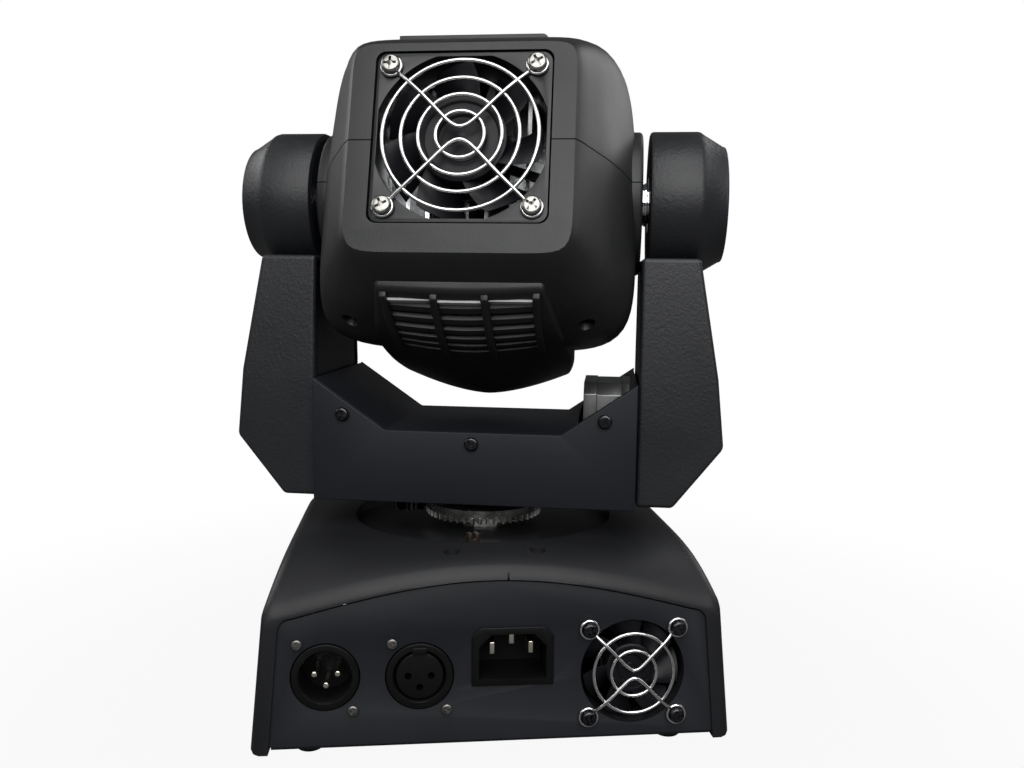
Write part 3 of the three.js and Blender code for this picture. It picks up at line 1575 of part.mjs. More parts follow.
function makeWheel(place, windows, windowRadius) {
  const disc = rod('y', wheelRadius, place, place + wheelSheet, fineSides);
  const hub = rod('y', wheelHubRadius, place - wheelSheet, place + wheelSheet, smallSides);
  const shaft = rod('y', wheelShaftRadius, 0, place, smallSides);
  const holes = Array.from({ length: windows }, (_, i) => {
    const angle = (2 * Math.PI * i) / windows;
    const centre = [wheelOffset * Math.cos(angle), 0, wheelOffset * Math.sin(angle)];
    return rod('y', windowRadius, place - overrun, place + wheelSheet + overrun, windowSides, centre);
  });
  return cut(join(disc, hub, shaft), ...holes);
}

function makeWheelMotor() {
  const back = -fit - wheelMotorLength;
  const body = rod('y', wheelMotorRadius, back, -fit, roundSides);
  const rear = rod('y', wheelMotorRadius - wheelShaftRadius, back - wheelSheet, -fit, roundSides);
  return join(body, rear);
}

function makeBezel() {
  const front = bezelFront;
  return turned(
    'y',
    [
      [barrelRadius + fit, bezelRear],
      [frontHoleRadius - fit, bezelRear],
      [frontHoleRadius - fit, headFront + fit],
      [bezelRadius, headFront + fit],
      [bezelRadius, front - bezelEdge],
      [bezelRadius - bezelEdge, front],
      [bezelBore + bezelLip, front],
      [bezelBore - bezelLip, lensSeat + lensRim + fit],
      [bezelBore, lensSeat + lensRim + fit],
      [bezelBore, lensSeat],
      [barrelRadius + fit, lensSeat],
    ],
    fineSides,
  );
}

function buildBase() {
  add(object, 'base_cover', makeBaseCover(), 'moulding');
  add(object, 'bottom_plate', makeBottomPlate(), 'sheetPaint');
  const corners = { rear_left: [-1, -1], rear_right: [1, -1], front_left: [-1, 1], front_right: [1, 1] };
  for (const [corner, [left, back]] of Object.entries(corners)) {
    add(object, `foot_${corner}`, makeFoot(left * footX, back * footY), 'rubber');
  }
  add(object, 'power_supply', makeSupply(), 'board');
  add(object, 'pan_post', makePost(), 'steel');
  add(object, 'pan_gear', makePanGear(), 'steel');
  const bore = postRadius + fit;
  const washer = tube('z', bore, washerRadius, gearTop + fit, bearingBottom - fit, roundSides);
  add(object, 'pan_washer', washer, 'blackPlastic');
  const start = bearingSeat + bearingFlangeThickness + fit;
  const retainer = tube('z', bore, bearingFlangeRadius, start, start + retainerThickness, roundSides);
  add(object, 'pan_retaining_ring', retainer, 'steel');
}

function buildRearPanel() {
  const rear = makeEndGroup(0);
  add(rear, 'rear_panel', makeRearPanel(), 'sheetPaint');
  add(rear, 'data_in_socket', makeDataInSocket(), 'blackPlastic');
  add(rear, 'data_out_socket', makeDataOutSocket(), 'blackPlastic');
  add(rear, 'mains_inlet', makeMainsInlet(), 'blackPlastic');
  const fanPlace = [baseFanX, panelSheet + fit, onPanel(baseFanHeight)];
  const frame = makeFanFrame(baseFanSide, baseFanDepth, baseFanBore, baseFanHub, baseFanHoleSpacing);
  add(rear, 'base_fan_frame', frame, 'blackPlastic').position.set(...fanPlace);
  const rotor = makeFanRotor(baseFanDepth, baseFanBore, baseFanHub);
  add(rear, 'base_fan_rotor', rotor, 'blackPlastic').position.set(...fanPlace);
  const guard = makeGuard(baseGuardRings, baseGuardWire, baseFanHoleSpacing, baseGuardEye);
  add(rear, 'base_fan_guard', guard, 'wire').position.set(baseFanX, -fit, onPanel(baseFanHeight));
}

function buildFrontPanel() {
  const front = makeEndGroup(Math.PI);
  add(front, 'front_panel', makeFrontPanel(), 'sheetPaint');
  add(front, 'display_window', makeDisplay(), 'display');
  const keyNames = ['menu_button', 'down_button', 'up_button', 'enter_button'];
  keyPlaces().forEach((place, i) => add(front, keyNames[i], makeKey(place), 'blackPlastic'));
  add(front, 'control_board', makeControlBoard(), 'board');
}

function buildYoke(yoke) {
  add(yoke, 'yoke_channel', makeYokeChannel(), 'sheetPaint');
  add(yoke, 'yoke_lid', makeYokeLid(), 'sheetPaint');
  add(yoke, 'pan_bearing', makePanBearing(), 'steel');
  add(yoke, 'pan_motor', makePanMotor(), 'steel');
  add(yoke, 'pan_pinion', makePanPinion(), 'steel').position.set(-pinionDistance, 0, 0);
  add(yoke, 'tilt_motor', makeTiltMotor(), 'aluminium');
  add(yoke, 'tilt_motor_pulley', makeMotorPulley(), 'aluminium');
  add(yoke, 'tilt_belt', makeBelt(), 'rubber');
  for (const [name, side] of [['left', -1], ['right', 1]]) {
    add(yoke, `${name}_arm_cover`, makeArmCover(side), 'texturedPaint');
    add(yoke, `${name}_bracket`, makeBracket(side), 'steel');
    add(yoke, `${name}_tilt_bearing`, makeTiltBearing(side), 'steel');
  }
}

function buildHead(head) {
  const [upper, lower] = makeHeadHalves();
  add(head, 'head_upper_shell', upper, 'moulding');
  add(head, 'head_lower_shell', lower, 'moulding');
  const fanStart = -headRear + headRearWall + fit;
  const frame = makeFanFrame(headFanSide, headFanDepth, headFanBore, headFanHub, headFanHoleSpacing);
  add(head, 'head_fan_frame', frame, 'blackPlastic').position.y = fanStart;
  const rotor = makeFanRotor(headFanDepth, headFanBore, headFanHub);
  add(head, 'head_fan_rotor', rotor, 'blackPlastic').position.y = fanStart;
  const guard = makeGuard(headGuardRings, headGuardWire, headFanHoleSpacing, headGuardEye);
  add(head, 'head_fan_guard', guard, 'wire').position.y = -headRear + fanRecessDepth - fit;
  add(head, 'left_tilt_shaft', makeShaft(-1), 'steel');
  add(head, 'right_tilt_shaft', makeShaft(1), 'steel');
  const pulley = turned('x', pulleyProfile(tiltPulleyRadius, journalRadius + fit), roundSides);
  add(head, 'tilt_pulley', pulley, 'aluminium');
  add(head, 'optics_frame', makeOpticsFrame(), 'sheetPaint');
  add(head, 'heat_sink', makeHeatSink(), 'aluminium');
  add(head, 'led_module', makeEmitter(), 'aluminium');
  const condenserRim = [-condenserHalfThickness, condenserHalfThickness];
  const condenser = makeLens(roundSides, condenserRadius, ...condenserRim, 0, condenserCrown);
  add(head, 'condenser_lens', condenser, 'glass');
  const wheels = [
    ['colour', 1, colourWheelPlace, colourWindows, colourWindowRadius],
    ['gobo', -1, goboWheelPlace, goboWindows, goboWindowRadius],
  ];
  for (const [name, side, place, windows, windowRadius] of wheels) {
    const [x, z] = wheelCentre(side);
    const towardsBeam = THREE.MathUtils.radToDeg(Math.atan2(-z, -x));
    const wheel = makeWheel(place, windows, windowRadius).rotate(0, -towardsBeam, 0);
    add(head, `${name}_wheel`, wheel, 'aluminium').position.set(x, 0, z);
    add(head, `${name}_motor`, makeWheelMotor(), 'steel').position.set(x, 0, z);
  }
  const barrelBore = barrelRadius - barrelWall;
  const barrel = tube('y', barrelBore, barrelRadius, barrelRear, lensSeat - fit, roundSides);
  add(head, 'lens_barrel', barrel, 'blackPlastic');
  const focusRim = [focusLensPlace, focusLensPlace + focusLensThickness];
  const focusLens = makeLens(roundSides, barrelBore - fit, ...focusRim, focusLensCrown, focusLensCrown);
  add(head, 'focus_lens', focusLens, 'glass');
  add(head, 'front_bezel', makeBezel(), 'blackPlastic');
  const frontRim = [lensSeat + fit, lensSeat + lensRim];
  const frontLens = makeLens(fineSides, bezelBore - fit, ...frontRim, 0, lensCrown, lensFlat);
  add(head, 'front_lens', frontLens, 'glass');
}

buildBase();
buildRearPanel();
buildFrontPanel();

const yoke = new THREE.Group();
yoke.rotation.z = radians(panAtRest);
object.add(yoke);
buildYoke(yoke);

const head = new THREE.Group();
head.position.z = tiltHeight;
head.rotation.x = -radians(noseDownAtRest);
yoke.add(head);
buildHead(head);

export default object;
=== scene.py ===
import math
import bpy
from mathutils import Matrix, Vector


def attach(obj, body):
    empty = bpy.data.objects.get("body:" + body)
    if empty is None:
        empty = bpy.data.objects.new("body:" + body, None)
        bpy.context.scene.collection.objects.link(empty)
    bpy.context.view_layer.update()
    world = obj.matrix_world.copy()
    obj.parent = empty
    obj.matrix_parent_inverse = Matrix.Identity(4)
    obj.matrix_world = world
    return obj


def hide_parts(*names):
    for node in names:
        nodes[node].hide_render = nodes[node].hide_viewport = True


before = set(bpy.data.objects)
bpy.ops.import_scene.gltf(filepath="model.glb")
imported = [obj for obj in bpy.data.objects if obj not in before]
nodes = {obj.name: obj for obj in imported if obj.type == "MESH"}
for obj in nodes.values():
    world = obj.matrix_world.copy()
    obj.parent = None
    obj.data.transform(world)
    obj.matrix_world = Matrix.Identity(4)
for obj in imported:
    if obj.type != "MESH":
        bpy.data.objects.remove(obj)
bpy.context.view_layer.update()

unit = 0.001  # pieces are written in millimetres
halfPi = math.pi / 2


def shiftBy(x, y, z):
    return Matrix.Translation(Vector((x, y, z)) * unit)


def turnBy(degrees, axis):
    return Matrix.Rotation(math.radians(degrees), 4, axis)


def between(low, high, share):
    return low + (high - low) * share


# resting pose, the same as in the part, and the working frames that pieces are written in
pose = {"pan": -12.2, "noseDown": 15.4, "tiltHeight": 200.2, "panelLean": 2.17, "panelPlace": -68.3,
        "panelHeight": 35}
basePlace = Matrix.Identity(4)
yokePlace = turnBy(pose["pan"], "Z")
headPlace = yokePlace @ shiftBy(0, 0, pose["tiltHeight"]) @ turnBy(-pose["noseDown"], "X")
rearPlace = shiftBy(0, pose["panelPlace"], pose["panelHeight"]) @ turnBy(-pose["panelLean"], "X")
frontPlace = turnBy(180, "Z") @ rearPlace
mirrorX = Matrix.Scale(-1, 4, (1, 0, 0))


# studio: camera in millimetres, lamps and floor in metres
studio = {"lens": 31.42, "sensorWidth": 36, "clip": (0.01, 20), "cameraAt": (-27.06, -368.77, 170.10),
          "yaw": 5.959, "pitch": 6.671, "roll": -0.717,
          "roomTone": (0.93, 0.95, 1, 1), "worldLight": 0.045, "shineShare": 0.03}
softboxes = {  # place, height of the point it faces, size, power
    "frontSoftbox": ((-0.05, -1.45, 1.05), 0.2, (2.0, 1.2), 34),
    "topSoftbox": ((0, -0.55, 1.5), 0.1, (1.2, 0.6), 9),
    "leftSoftbox": ((-1.3, -0.1, 0.9), 0.16, (0.7, 0.8), 4),
    "rightSoftbox": ((1.3, -0.1, 0.9), 0.16, (0.7, 0.8), 3.5),
    "backLeftSoftbox": ((-1.3, 0.85, 0.95), 0.16, (0.8, 0.8), 7),
    "backRightSoftbox": ((1.3, 0.85, 0.95), 0.16, (0.8, 0.8), 6),
}


def linked(name, data):
    holder = bpy.data.objects.new(name, data)
    bpy.context.scene.collection.objects.link(holder)
    return holder


def placeCamera():
    yaw, pitch, roll = (math.radians(studio[k]) for k in ("yaw", "pitch", "roll"))
    ahead = Vector((math.sin(yaw) * math.cos(pitch), math.cos(yaw) * math.cos(pitch), -math.sin(pitch)))
    right = Vector((math.cos(yaw), -math.sin(yaw), 0))
    down = ahead.cross(right)
    imageRight = right * math.cos(roll) + down * math.sin(roll)
    imageDown = down * math.cos(roll) - right * math.sin(roll)
    camera = bpy.data.cameras.new("camera")
    camera.lens, camera.sensor_width = studio["lens"], studio["sensorWidth"]
    camera.clip_start, camera.clip_end = studio["clip"]
    holder = linked("camera", camera)
    turn = Matrix((imageRight, -imageDown, -ahead)).transposed().to_4x4()
    holder.matrix_world = shiftBy(*studio["cameraAt"]) @ turn
    bpy.context.scene.camera = holder


def addSoftbox(name, at, facing, size, power):
    light = bpy.data.lights.new(name, "AREA")
    light.shape, light.energy = "RECTANGLE", power
    light.size, light.size_y = size
    holder = linked(name, light)
    holder.location = at
    holder.rotation_euler = (Vector((0, 0, facing)) - Vector(at)).to_track_quat("-Z", "Y").to_euler()


def nodeTools(tree):
    # a function that adds a node with its settings and input values, and one that links sockets
    tree.nodes.clear()

    def add(kind, at, inputs=None, **settings):
        node = tree.nodes.new(kind if kind.startswith("NodeGroup") else f"ShaderNode{kind}")
        node.location = at
        for key, value in settings.items():
            setattr(node, key, value)
        for key, value in (inputs or {}).items():
            node.inputs[key].default_value = value
        return node

    def link(*pairs):
        for source, output, target, slot in pairs:
            tree.links.new(source.outputs[output], target.inputs[slot])
    return add, link


def lightWorld():
    # white to the camera and through glass, dim for plain light, a little white in reflections
    world = bpy.data.worlds.new("studio")
    world.use_nodes = True
    add, link = nodeTools(world.node_tree)
    out, both = add("OutputWorld", (600, 0)), add("MixShader", (400, 0))
    room = add("Background", (150, 60), {"Color": studio["roomTone"], "Strength": studio["worldLight"]})
    white = add("Background", (150, -80), {"Color": (1, 1, 1, 1)})
    path, seen = add("LightPath", (-400, 200)), add("Math", (0, 220), operation="MAXIMUM")
    shine = add("Math", (-150, 400), {1: studio["shineShare"]}, operation="MULTIPLY")
    share = add("Math", (150, 300), operation="MAXIMUM")
    link((path, "Is Camera Ray", seen, 0), (path, "Is Transmission Ray", seen, 1),
         (path, "Is Glossy Ray", shine, 0), (seen, 0, share, 0), (shine, 0, share, 1), (share, 0, both, "Fac"),
         (room, 0, both, 1), (white, 0, both, 2), (both, 0, out, "Surface"))
    bpy.context.scene.world = world


placeCamera()
for name, row in softboxes.items():
    addSoftbox(name, *row)
lightWorld()
bpy.context.scene.view_settings.view_transform = "Standard"
print("studio ready")


def startGroup(name, inputs, outputs):
    tree = bpy.data.node_groups.new(name, "ShaderNodeTree")
    for label, value in inputs.items():
        socket = tree.interface.new_socket(name=label, in_out="INPUT", socket_type="NodeSocketFloat")
        socket.default_value = value
    for label in outputs:
        tree.interface.new_socket(name=label, in_out="OUTPUT", socket_type="NodeSocketFloat")
    add, link = nodeTools(tree)
    return tree, add, link, add("NodeGroupInput", (-900, 0)), add("NodeGroupOutput", (900, 0))


def makeGrainGroup():
    # fine moulded or sprayed grain, with a slow cloudiness for colour and gloss
    tree, add, link, source, result = startGroup(
        "surfaceGrain", {"Grain size": 1400, "Cloud size": 40}, ["Height", "Cloud"])
    place = add("TexCoord", (-900, -250))
    fine = add("TexNoise", (-400, 200), {"Detail": 4, "Roughness": 0.6})
    cloud = add("TexNoise", (-400, -200), {"Detail": 5, "Roughness": 0.62})
    link((place, "Object", fine, "Vector"), (place, "Object", cloud, "Vector"),
         (source, "Grain size", fine, "Scale"), (source, "Cloud size", cloud, "Scale"),
         (fine, "Fac", result, "Height"), (cloud, "Fac", result, "Cloud"))
    return tree


def makeLeatherGroup():
    # wrinkled paint: small raised cells, stronger in some patches
    tree, add, link, source, result = startGroup("wrinkledPaint", {"Wrinkle size": 420}, ["Height"])
    place = add("TexCoord", (-900, -250))
    bend = add("TexNoise", (-650, -100), {"Scale": 260, "Detail": 3})
    shift = add("VectorMath", (-450, -150), {1: (0.004, 0.004, 0.004)}, operation="MULTIPLY_ADD")
    cells = add("TexVoronoi", (-200, 0), {"Smoothness": 0.6}, feature="SMOOTH_F1")
    patches = add("TexNoise", (-200, -300), {"Scale": 90, "Detail": 4})
    mixed = add("Math", (150, 0), operation="MULTIPLY")
    link((place, "Object", bend, "Vector"), (bend, "Color", shift, 0), (place, "Object", shift, 2),
         (shift, 0, cells, "Vector"), (place, "Object", patches, "Vector"), (source, 0, cells, "Scale"),
         (cells, "Distance", mixed, 0), (patches, "Fac", mixed, 1), (mixed, 0, result, "Height"))
    return tree


def makeDustGroup():
    # pale dust on what faces up, broken up by noise
    tree, add, link, source, result = startGroup("settledDust", {"Amount": 0.2}, ["Mask"])
    place, facing = add("TexCoord", (-900, -250)), add("NewGeometry", (-900, 250))
    split = add("SeparateXYZ", (-650, 250))
    upward = add("MapRange", (-400, 250), {"From Min": 0.35, "From Max": 1})
    specks = add("TexNoise", (-650, -150), {"Scale": 160, "Detail": 6})
    sharper = add("MapRange", (-400, -150), {"From Min": 0.45, "From Max": 0.75})
    lying, amount = (add("Math", (x, 100), operation="MULTIPLY") for x in (-100, 150))
    link((facing, "Normal", split, 0), (split, "Z", upward, "Value"), (place, "Object", specks, "Vector"),
         (specks, "Fac", sharper, "Value"), (upward, 0, lying, 0), (sharper, 0, lying, 1),
         (lying, 0, amount, 0), (source, 0, amount, 1), (amount, 0, result, "Mask"))
    return tree


grainGroup, leatherGroup, dustGroup = makeGrainGroup(), makeLeatherGroup(), makeDustGroup()


def startFinish(name, values):
    material = bpy.data.materials.new(name)
    material.use_nodes = True
    add, link = nodeTools(material.node_tree)
    out, surface = add("OutputMaterial", (900, 0)), add("BsdfPrincipled", (600, 0), values)
    link((surface, 0, out, "Surface"))
    return material, add, link, surface, out


wrinkle = {"strength": 0.3, "depth": 0.0004}
dustTone = (0.24, 0.235, 0.225, 1)
glossFrom = (0.3, 0.7)  # range of the cloudiness that the gloss follows


def addClouds(add, link, dark, light, sizes):
    # colour that drifts between two tones
    texture = add("Group", (-600, 0), sizes, node_tree=grainGroup)
    colour = add("Mix", (-200, 200), {"A": (*dark, 1), "B": (*light, 1)}, data_type="RGBA")
    link((texture, "Cloud", colour, "Factor"))
    return texture, colour


def makeFinish(name, dark, light, rough, metal, grain, cloud, bump, depth,
               spread=0.08, dust=0, wrinkleSize=0, specular=0.5, coat=0):
    material, add, link, surface, _ = startFinish(
        name, {"Roughness": rough, "Metallic": metal, "Specular IOR Level": specular, "Coat Weight": coat})
    texture, colour = addClouds(add, link, dark, light, {"Grain size": grain, "Cloud size": cloud})
    gloss = add("MapRange", (-200, -50), {"From Min": glossFrom[0], "From Max": glossFrom[1],
                                          "To Min": rough - spread, "To Max": rough + spread})
    raised = add("Bump", (200, -300), {"Strength": bump, "Distance": depth})
    link((texture, "Cloud", gloss, "Value"), (gloss, 0, surface, "Roughness"),
         (texture, "Height", raised, "Height"), (raised, 0, surface, "Normal"))
    if wrinkleSize:
        folds = add("Group", (-600, -400), {"Wrinkle size": wrinkleSize}, node_tree=leatherGroup)
        second = add("Bump", (0, -400), {"Strength": wrinkle["strength"], "Distance": wrinkle["depth"]})
        link((folds, "Height", second, "Height"), (second, 0, raised, "Normal"))
    shown = colour
    if dust:
        lying = add("Group", (-200, 450), {"Amount": dust}, node_tree=dustGroup)
        shown = add("Mix", (200, 300), {"B": dustTone}, data_type="RGBA")
        link((colour, "Result", shown, "A"), (lying, "Mask", shown, "Factor"))
    link((shown, "Result", surface, "Base Color"))
    return material


def makeGlass(name, dark, light, rough, cloud):
    material, add, link, surface, _ = startFinish(
        name, {"Roughness": rough, "Metallic": 0, "Transmission Weight": 1, "IOR": 1.5})
    _, colour = addClouds(add, link, dark, light, {"Cloud size": cloud})
    link((colour, "Result", surface, "Base Color"))
    return material


# dark and light tone, roughness, metal, grain size, cloud size, bump strength and depth, what differs from plain
finishRows = {
    "shellPlastic": ((0.0065, 0.0068, 0.007), (0.011, 0.0113, 0.0118), 0.45, 0, 1500, 28, 0.3, 0.0002,
                     {"spread": 0.05, "dust": 0.03, "specular": 0.4}),
    "domePlastic": ((0.006, 0.0063, 0.0075), (0.009, 0.0093, 0.0108), 0.46, 0, 1700, 22, 0.25, 0.0002,
                    {"spread": 0.03, "specular": 0.3}),
    "armPaint": ((0.0075, 0.008, 0.0095), (0.0125, 0.0133, 0.0155), 0.45, 0, 1200, 34, 0.2, 0.0002,
                 {"wrinkleSize": 760, "spread": 0.04, "dust": 0.03, "specular": 0.4}),
    "sheetPaint": ((0.0075, 0.0085, 0.0115), (0.0105, 0.0118, 0.0155), 0.45, 0, 2200, 18, 0.18, 0.0001,
                   {"spread": 0.04, "specular": 0.22}),
    "panelPaint": ((0.0085, 0.0093, 0.0115), (0.0115, 0.0125, 0.0155), 0.5, 0, 2600, 16, 0.2, 0.0001,
                   {"specular": 0.24}),
    "socketPlastic": ((0.0022, 0.0022, 0.0025), (0.004, 0.004, 0.0045), 0.42, 0, 2000, 60, 0.12, 0.0001,
                      {"specular": 0.14}),
    "fanPlastic": ((0.0065, 0.0067, 0.0075), (0.012, 0.0123, 0.0135), 0.4, 0, 1300, 70, 0.15, 0.0001,
                   {"dust": 0.08, "specular": 0.4}),
    # the rotor's plastic is the fan frame's plastic painted darker: painted shade for the inside of the fan
    "shadedRotorPlastic": ((0.003, 0.003, 0.0045), (0.006, 0.006, 0.0085), 0.42, 0, 1300, 70, 0.15, 0.0001,
                     {"specular": 0.22}),
    "sensorPlastic": ((0.01, 0.007, 0.005), (0.02, 0.013, 0.009), 0.4, 0, 900, 120, 0.1, 0.0001,
                      {"specular": 0.3}),
    "footRubber": ((0.008, 0.008, 0.008), (0.016, 0.016, 0.016), 0.8, 0, 900, 90, 0.25, 0.0002,
                   {"dust": 0.2, "specular": 0.15}),
    "beltRubber": ((0.01, 0.01, 0.01), (0.018, 0.018, 0.018), 0.75, 0, 700, 120, 0.25, 0.0002, {"specular": 0.2}),
    "keyRubber": ((0.02, 0.02, 0.021), (0.032, 0.032, 0.034), 0.6, 0, 1400, 120, 0.2, 0.0001, {}),
    "greenBoard": ((0.01, 0.075, 0.03), (0.016, 0.11, 0.045), 0.35, 0, 600, 160, 0.1, 0.0001, {}),
    "displayPane": ((0.01, 0.002, 0.002), (0.018, 0.003, 0.003), 0.08, 0, 300, 30, 0.01, 0.0001,
                    {"spread": 0.02, "coat": 0.6}),
    "stripGrey": ((0.3, 0.3, 0.31), (0.4, 0.4, 0.41), 0.5, 0, 900, 90, 0.08, 0.0001, {}),
    "motorGrey": ((0.13, 0.133, 0.13), (0.21, 0.215, 0.21), 0.36, 0.85, 1100, 90, 0.12, 0.0001, {}),
    "guardWire": ((0.58, 0.58, 0.575), (0.74, 0.74, 0.735), 0.2, 1, 900, 120, 0.05, 0.0001, {"spread": 0.06}),
    "screwSteel": ((0.22, 0.217, 0.2), (0.36, 0.353, 0.33), 0.3, 1, 800, 300, 0.12, 0.0001, {}),
    "dullScrew": ((0.13, 0.127, 0.12), (0.24, 0.235, 0.22), 0.36, 1, 800, 300, 0.15, 0.0001, {}),
    "darkScrew": ((0.03, 0.03, 0.034), (0.07, 0.07, 0.076), 0.26, 1, 800, 300, 0.15, 0.0001, {}),
    "gearSteel": ((0.5, 0.5, 0.475), (0.68, 0.68, 0.65), 0.3, 1, 700, 140, 0.1, 0.0001, {}),
    "bushSteel": ((0.7, 0.7, 0.71), (0.85, 0.85, 0.86), 0.14, 1, 900, 90, 0.05, 0.0001, {"spread": 0.04}),
    "pinBrass": ((0.62, 0.58, 0.48), (0.8, 0.76, 0.66), 0.22, 1, 900, 200, 0.05, 0.0001, {"spread": 0.05}),
    "bareAluminium": ((0.6, 0.61, 0.62), (0.76, 0.77, 0.78), 0.3, 1, 900, 90, 0.08, 0.0001, {}),
}
finishes = {name: makeFinish(name, *row[:-1], **row[-1]) for name, row in finishRows.items()}
finishes["lensGlass"] = makeGlass("lensGlass", (0.90, 0.93, 0.96), (0.97, 0.98, 0.99), 0.02, 60)

# CAD nodes that no modelled piece stands for keep their mesh and get these finishes
nodeFinishes = {
    "sheetPaint": ["optics_frame", "left_bracket", "right_bracket"],
    "socketPlastic": ["pan_washer", "lens_barrel"],
    "gearSteel": ["pan_post", "pan_retaining_ring", "pan_bearing", "pan_motor", "colour_motor", "gobo_motor"],
    "darkScrew": ["pan_pinion"],
    "bushSteel": ["left_tilt_bearing", "right_tilt_bearing"],
    "bareAluminium": ["tilt_motor_pulley", "tilt_pulley", "heat_sink", "led_module", "colour_wheel", "gobo_wheel"],
    "beltRubber": ["tilt_belt"],
    "greenBoard": ["power_supply", "control_board"],
    "lensGlass": ["condenser_lens", "focus_lens"],
}


def paint(piece, finish):
    piece.data.materials.clear()
    piece.data.materials.append(finishes[finish])


for finish, names in nodeFinishes.items():
    for name in names:
        paint(nodes[name], finish)
print("finishes ready")


def deselect():
    if bpy.context.mode != "OBJECT":
        bpy.ops.object.mode_set(mode="OBJECT")
    bpy.ops.object.select_all(action="DESELECT")


def focus(piece, *others):
    deselect()
    for one in (*others, piece):
        one.select_set(True)
    bpy.context.view_layer.objects.active = piece


def newest(name):
    piece = bpy.context.view_layer.objects.active
    piece.name = piece.data.name = name
    bpy.ops.object.transform_apply(location=True, rotation=True, scale=True)
    return piece


def addBlock(name, low, high):
    deselect()
    middle = [(a + b) / 2 * unit for a, b in zip(low, high)]
    size = [(b - a) * unit for a, b in zip(low, high)]
    bpy.ops.mesh.primitive_cube_add(size=1, location=middle, scale=size)
    return newest(name)


axisTurns = {"X": (0, halfPi, 0), "Y": (-halfPi, 0, 0), "Z": (0, 0, 0)}


def addRod(name, radius, start, end, centre=(0, 0, 0), along="Y", sides=64):
    deselect()
    middle = Vector(centre)
    middle["XYZ".index(along)] = (start + end) / 2
    bpy.ops.mesh.primitive_cone_add(vertices=sides, radius1=radius * unit, radius2=radius * unit,
                                    depth=(end - start) * unit, location=middle * unit, rotation=axisTurns[along])
    return newest(name)


def addRing(name, ringRadius, wireRadius, centre, steps=96, sides=14):
    deselect()
    bpy.ops.mesh.primitive_torus_add(major_radius=ringRadius * unit, minor_radius=wireRadius * unit,
                                     major_segments=steps, minor_segments=sides,
                                     location=Vector(centre) * unit, rotation=axisTurns["Y"])
    return newest(name)


mergeReach = 0.000002


def mergePoints():
    bpy.ops.mesh.remove_doubles(threshold=mergeReach)


def faceOutward():
    bpy.ops.mesh.normals_make_consistent(inside=False)


def editAll(piece, *actions):
    # edit-mode operators, each on all of a piece
    focus(piece)
    bpy.ops.object.mode_set(mode="EDIT")
    for action in actions:
        bpy.ops.mesh.select_all(action="SELECT")
        action()
    bpy.ops.object.mode_set(mode="OBJECT")
    return piece


def meshPiece(name, points, edges, faces):
    mesh = bpy.data.meshes.new(name)
    mesh.from_pydata(points, edges, faces)
    return linked(name, mesh)


def spinProfile(name, profile, along="Y", steps=96, centre=(0, 0, 0)):
    # profile points are (radius, place along the axis); the spin closes it into a solid
    axis = "XYZ".index(along)
    points = []
    for radius, place in profile:
        point = Vector(centre) * unit
        point[axis] += place * unit
        point[(axis + 1) % 3] += radius * unit
        points.append(point)
    count = len(points)
    offAxis = profile[0][0] > 0
    edges = [(i, (i + 1) % count) for i in range(count if offAxis else count - 1)]
    direction = [1 if letter == along else 0 for letter in "XYZ"]

    def spin():
        bpy.ops.mesh.spin(steps=steps, angle=2 * math.pi, center=Vector(centre) * unit, axis=direction)
    return editAll(meshPiece(name, points, edges, []), spin, mergePoints, faceOutward)


def skinRings(name, rings):
    # closed skin through rings of points with the same count
    count, last = len(rings[0]), len(rings) - 1
    points = [Vector(p) * unit for ring in rings for p in ring]
    faces = []
    for k in range(last):
        for i in range(count):
            a, b = k * count + i, k * count + (i + 1) % count
            faces.append((a, b, b + count, a + count))
    faces += [tuple(range(count - 1, -1, -1)), tuple(range(last * count, (last + 1) * count))]
    return editAll(meshPiece(name, points, [], faces), faceOutward)


def prism(name, outline, low, high, across="Y"):
    # a flat outline of two coordinates given thickness across the axis named
    def lay(a, b, depth):
        return {"Y": (a, depth, b), "X": (depth, a, b), "Z": (a, b, depth)}[across]
    return skinRings(name, [[lay(a, b, depth) for a, b in outline] for depth in (low, high)])


def roundedOutline(width, height, corner, x=0, z=0, steps=8):
    points = []
    for quarter, (right, up) in enumerate([(1, 1), (-1, 1), (-1, -1), (1, -1)]):
        for k in range(steps + 1):
            angle = (quarter + k / steps) * halfPi
            points.append((x + right * (width / 2 - corner) + corner * math.cos(angle),
                           z + up * (height / 2 - corner) + corner * math.sin(angle)))
    return points


def lowCorner(radius, low, bend, steps):
    # the rounded outer corner at the low end of a turned profile
    turns = [k / steps * halfPi for k in range(steps + 1)]
    return [(radius - bend * (1 - math.sin(turn)), low + bend * (1 - math.cos(turn))) for turn in turns]


def finishModifier(piece, kind, **settings):
    focus(piece)
    modifier = piece.modifiers.new(kind.lower(), kind)
    for key, value in settings.items():
        setattr(modifier, key, value)
    bpy.ops.object.modifier_apply(modifier=modifier.name)


def combine(piece, others, action):
    for other in others:
        finishModifier(piece, "BOOLEAN", object=other, operation=action, solver="EXACT")
        bpy.data.objects.remove(other, do_unlink=True)
    return piece


def carve(piece, *cutters):
    return combine(piece, cutters, "DIFFERENCE")


def fuse(piece, *others):
    return combine(piece, others, "UNION")


def group(name, piece, *others):
    # one object of several closed bodies that only touch
    focus(piece, *others)
    bpy.ops.object.join()
    piece.name = name
    return piece


def shadeByAngle(piece, angle):
    focus(piece)
    bpy.ops.object.shade_smooth_by_angle(angle=math.radians(angle))
    return piece


def softenEdges(piece, width, segments=2, angle=32):
    finishModifier(piece, "BEVEL", width=width * unit, segments=segments, limit_method="ANGLE",
                   angle_limit=math.radians(angle), miter_outer="MITER_ARC", use_clamp_overlap=True)
    return shadeByAngle(piece, angle)


def copyOf(piece, name, move):
    twin = piece.copy()
    twin.data = piece.data.copy()
    twin.name = twin.data.name = name
    bpy.context.scene.collection.objects.link(twin)
    twin.data.transform(move)
    if move.determinant() < 0:
        twin.data.flip_normals()
    return twin


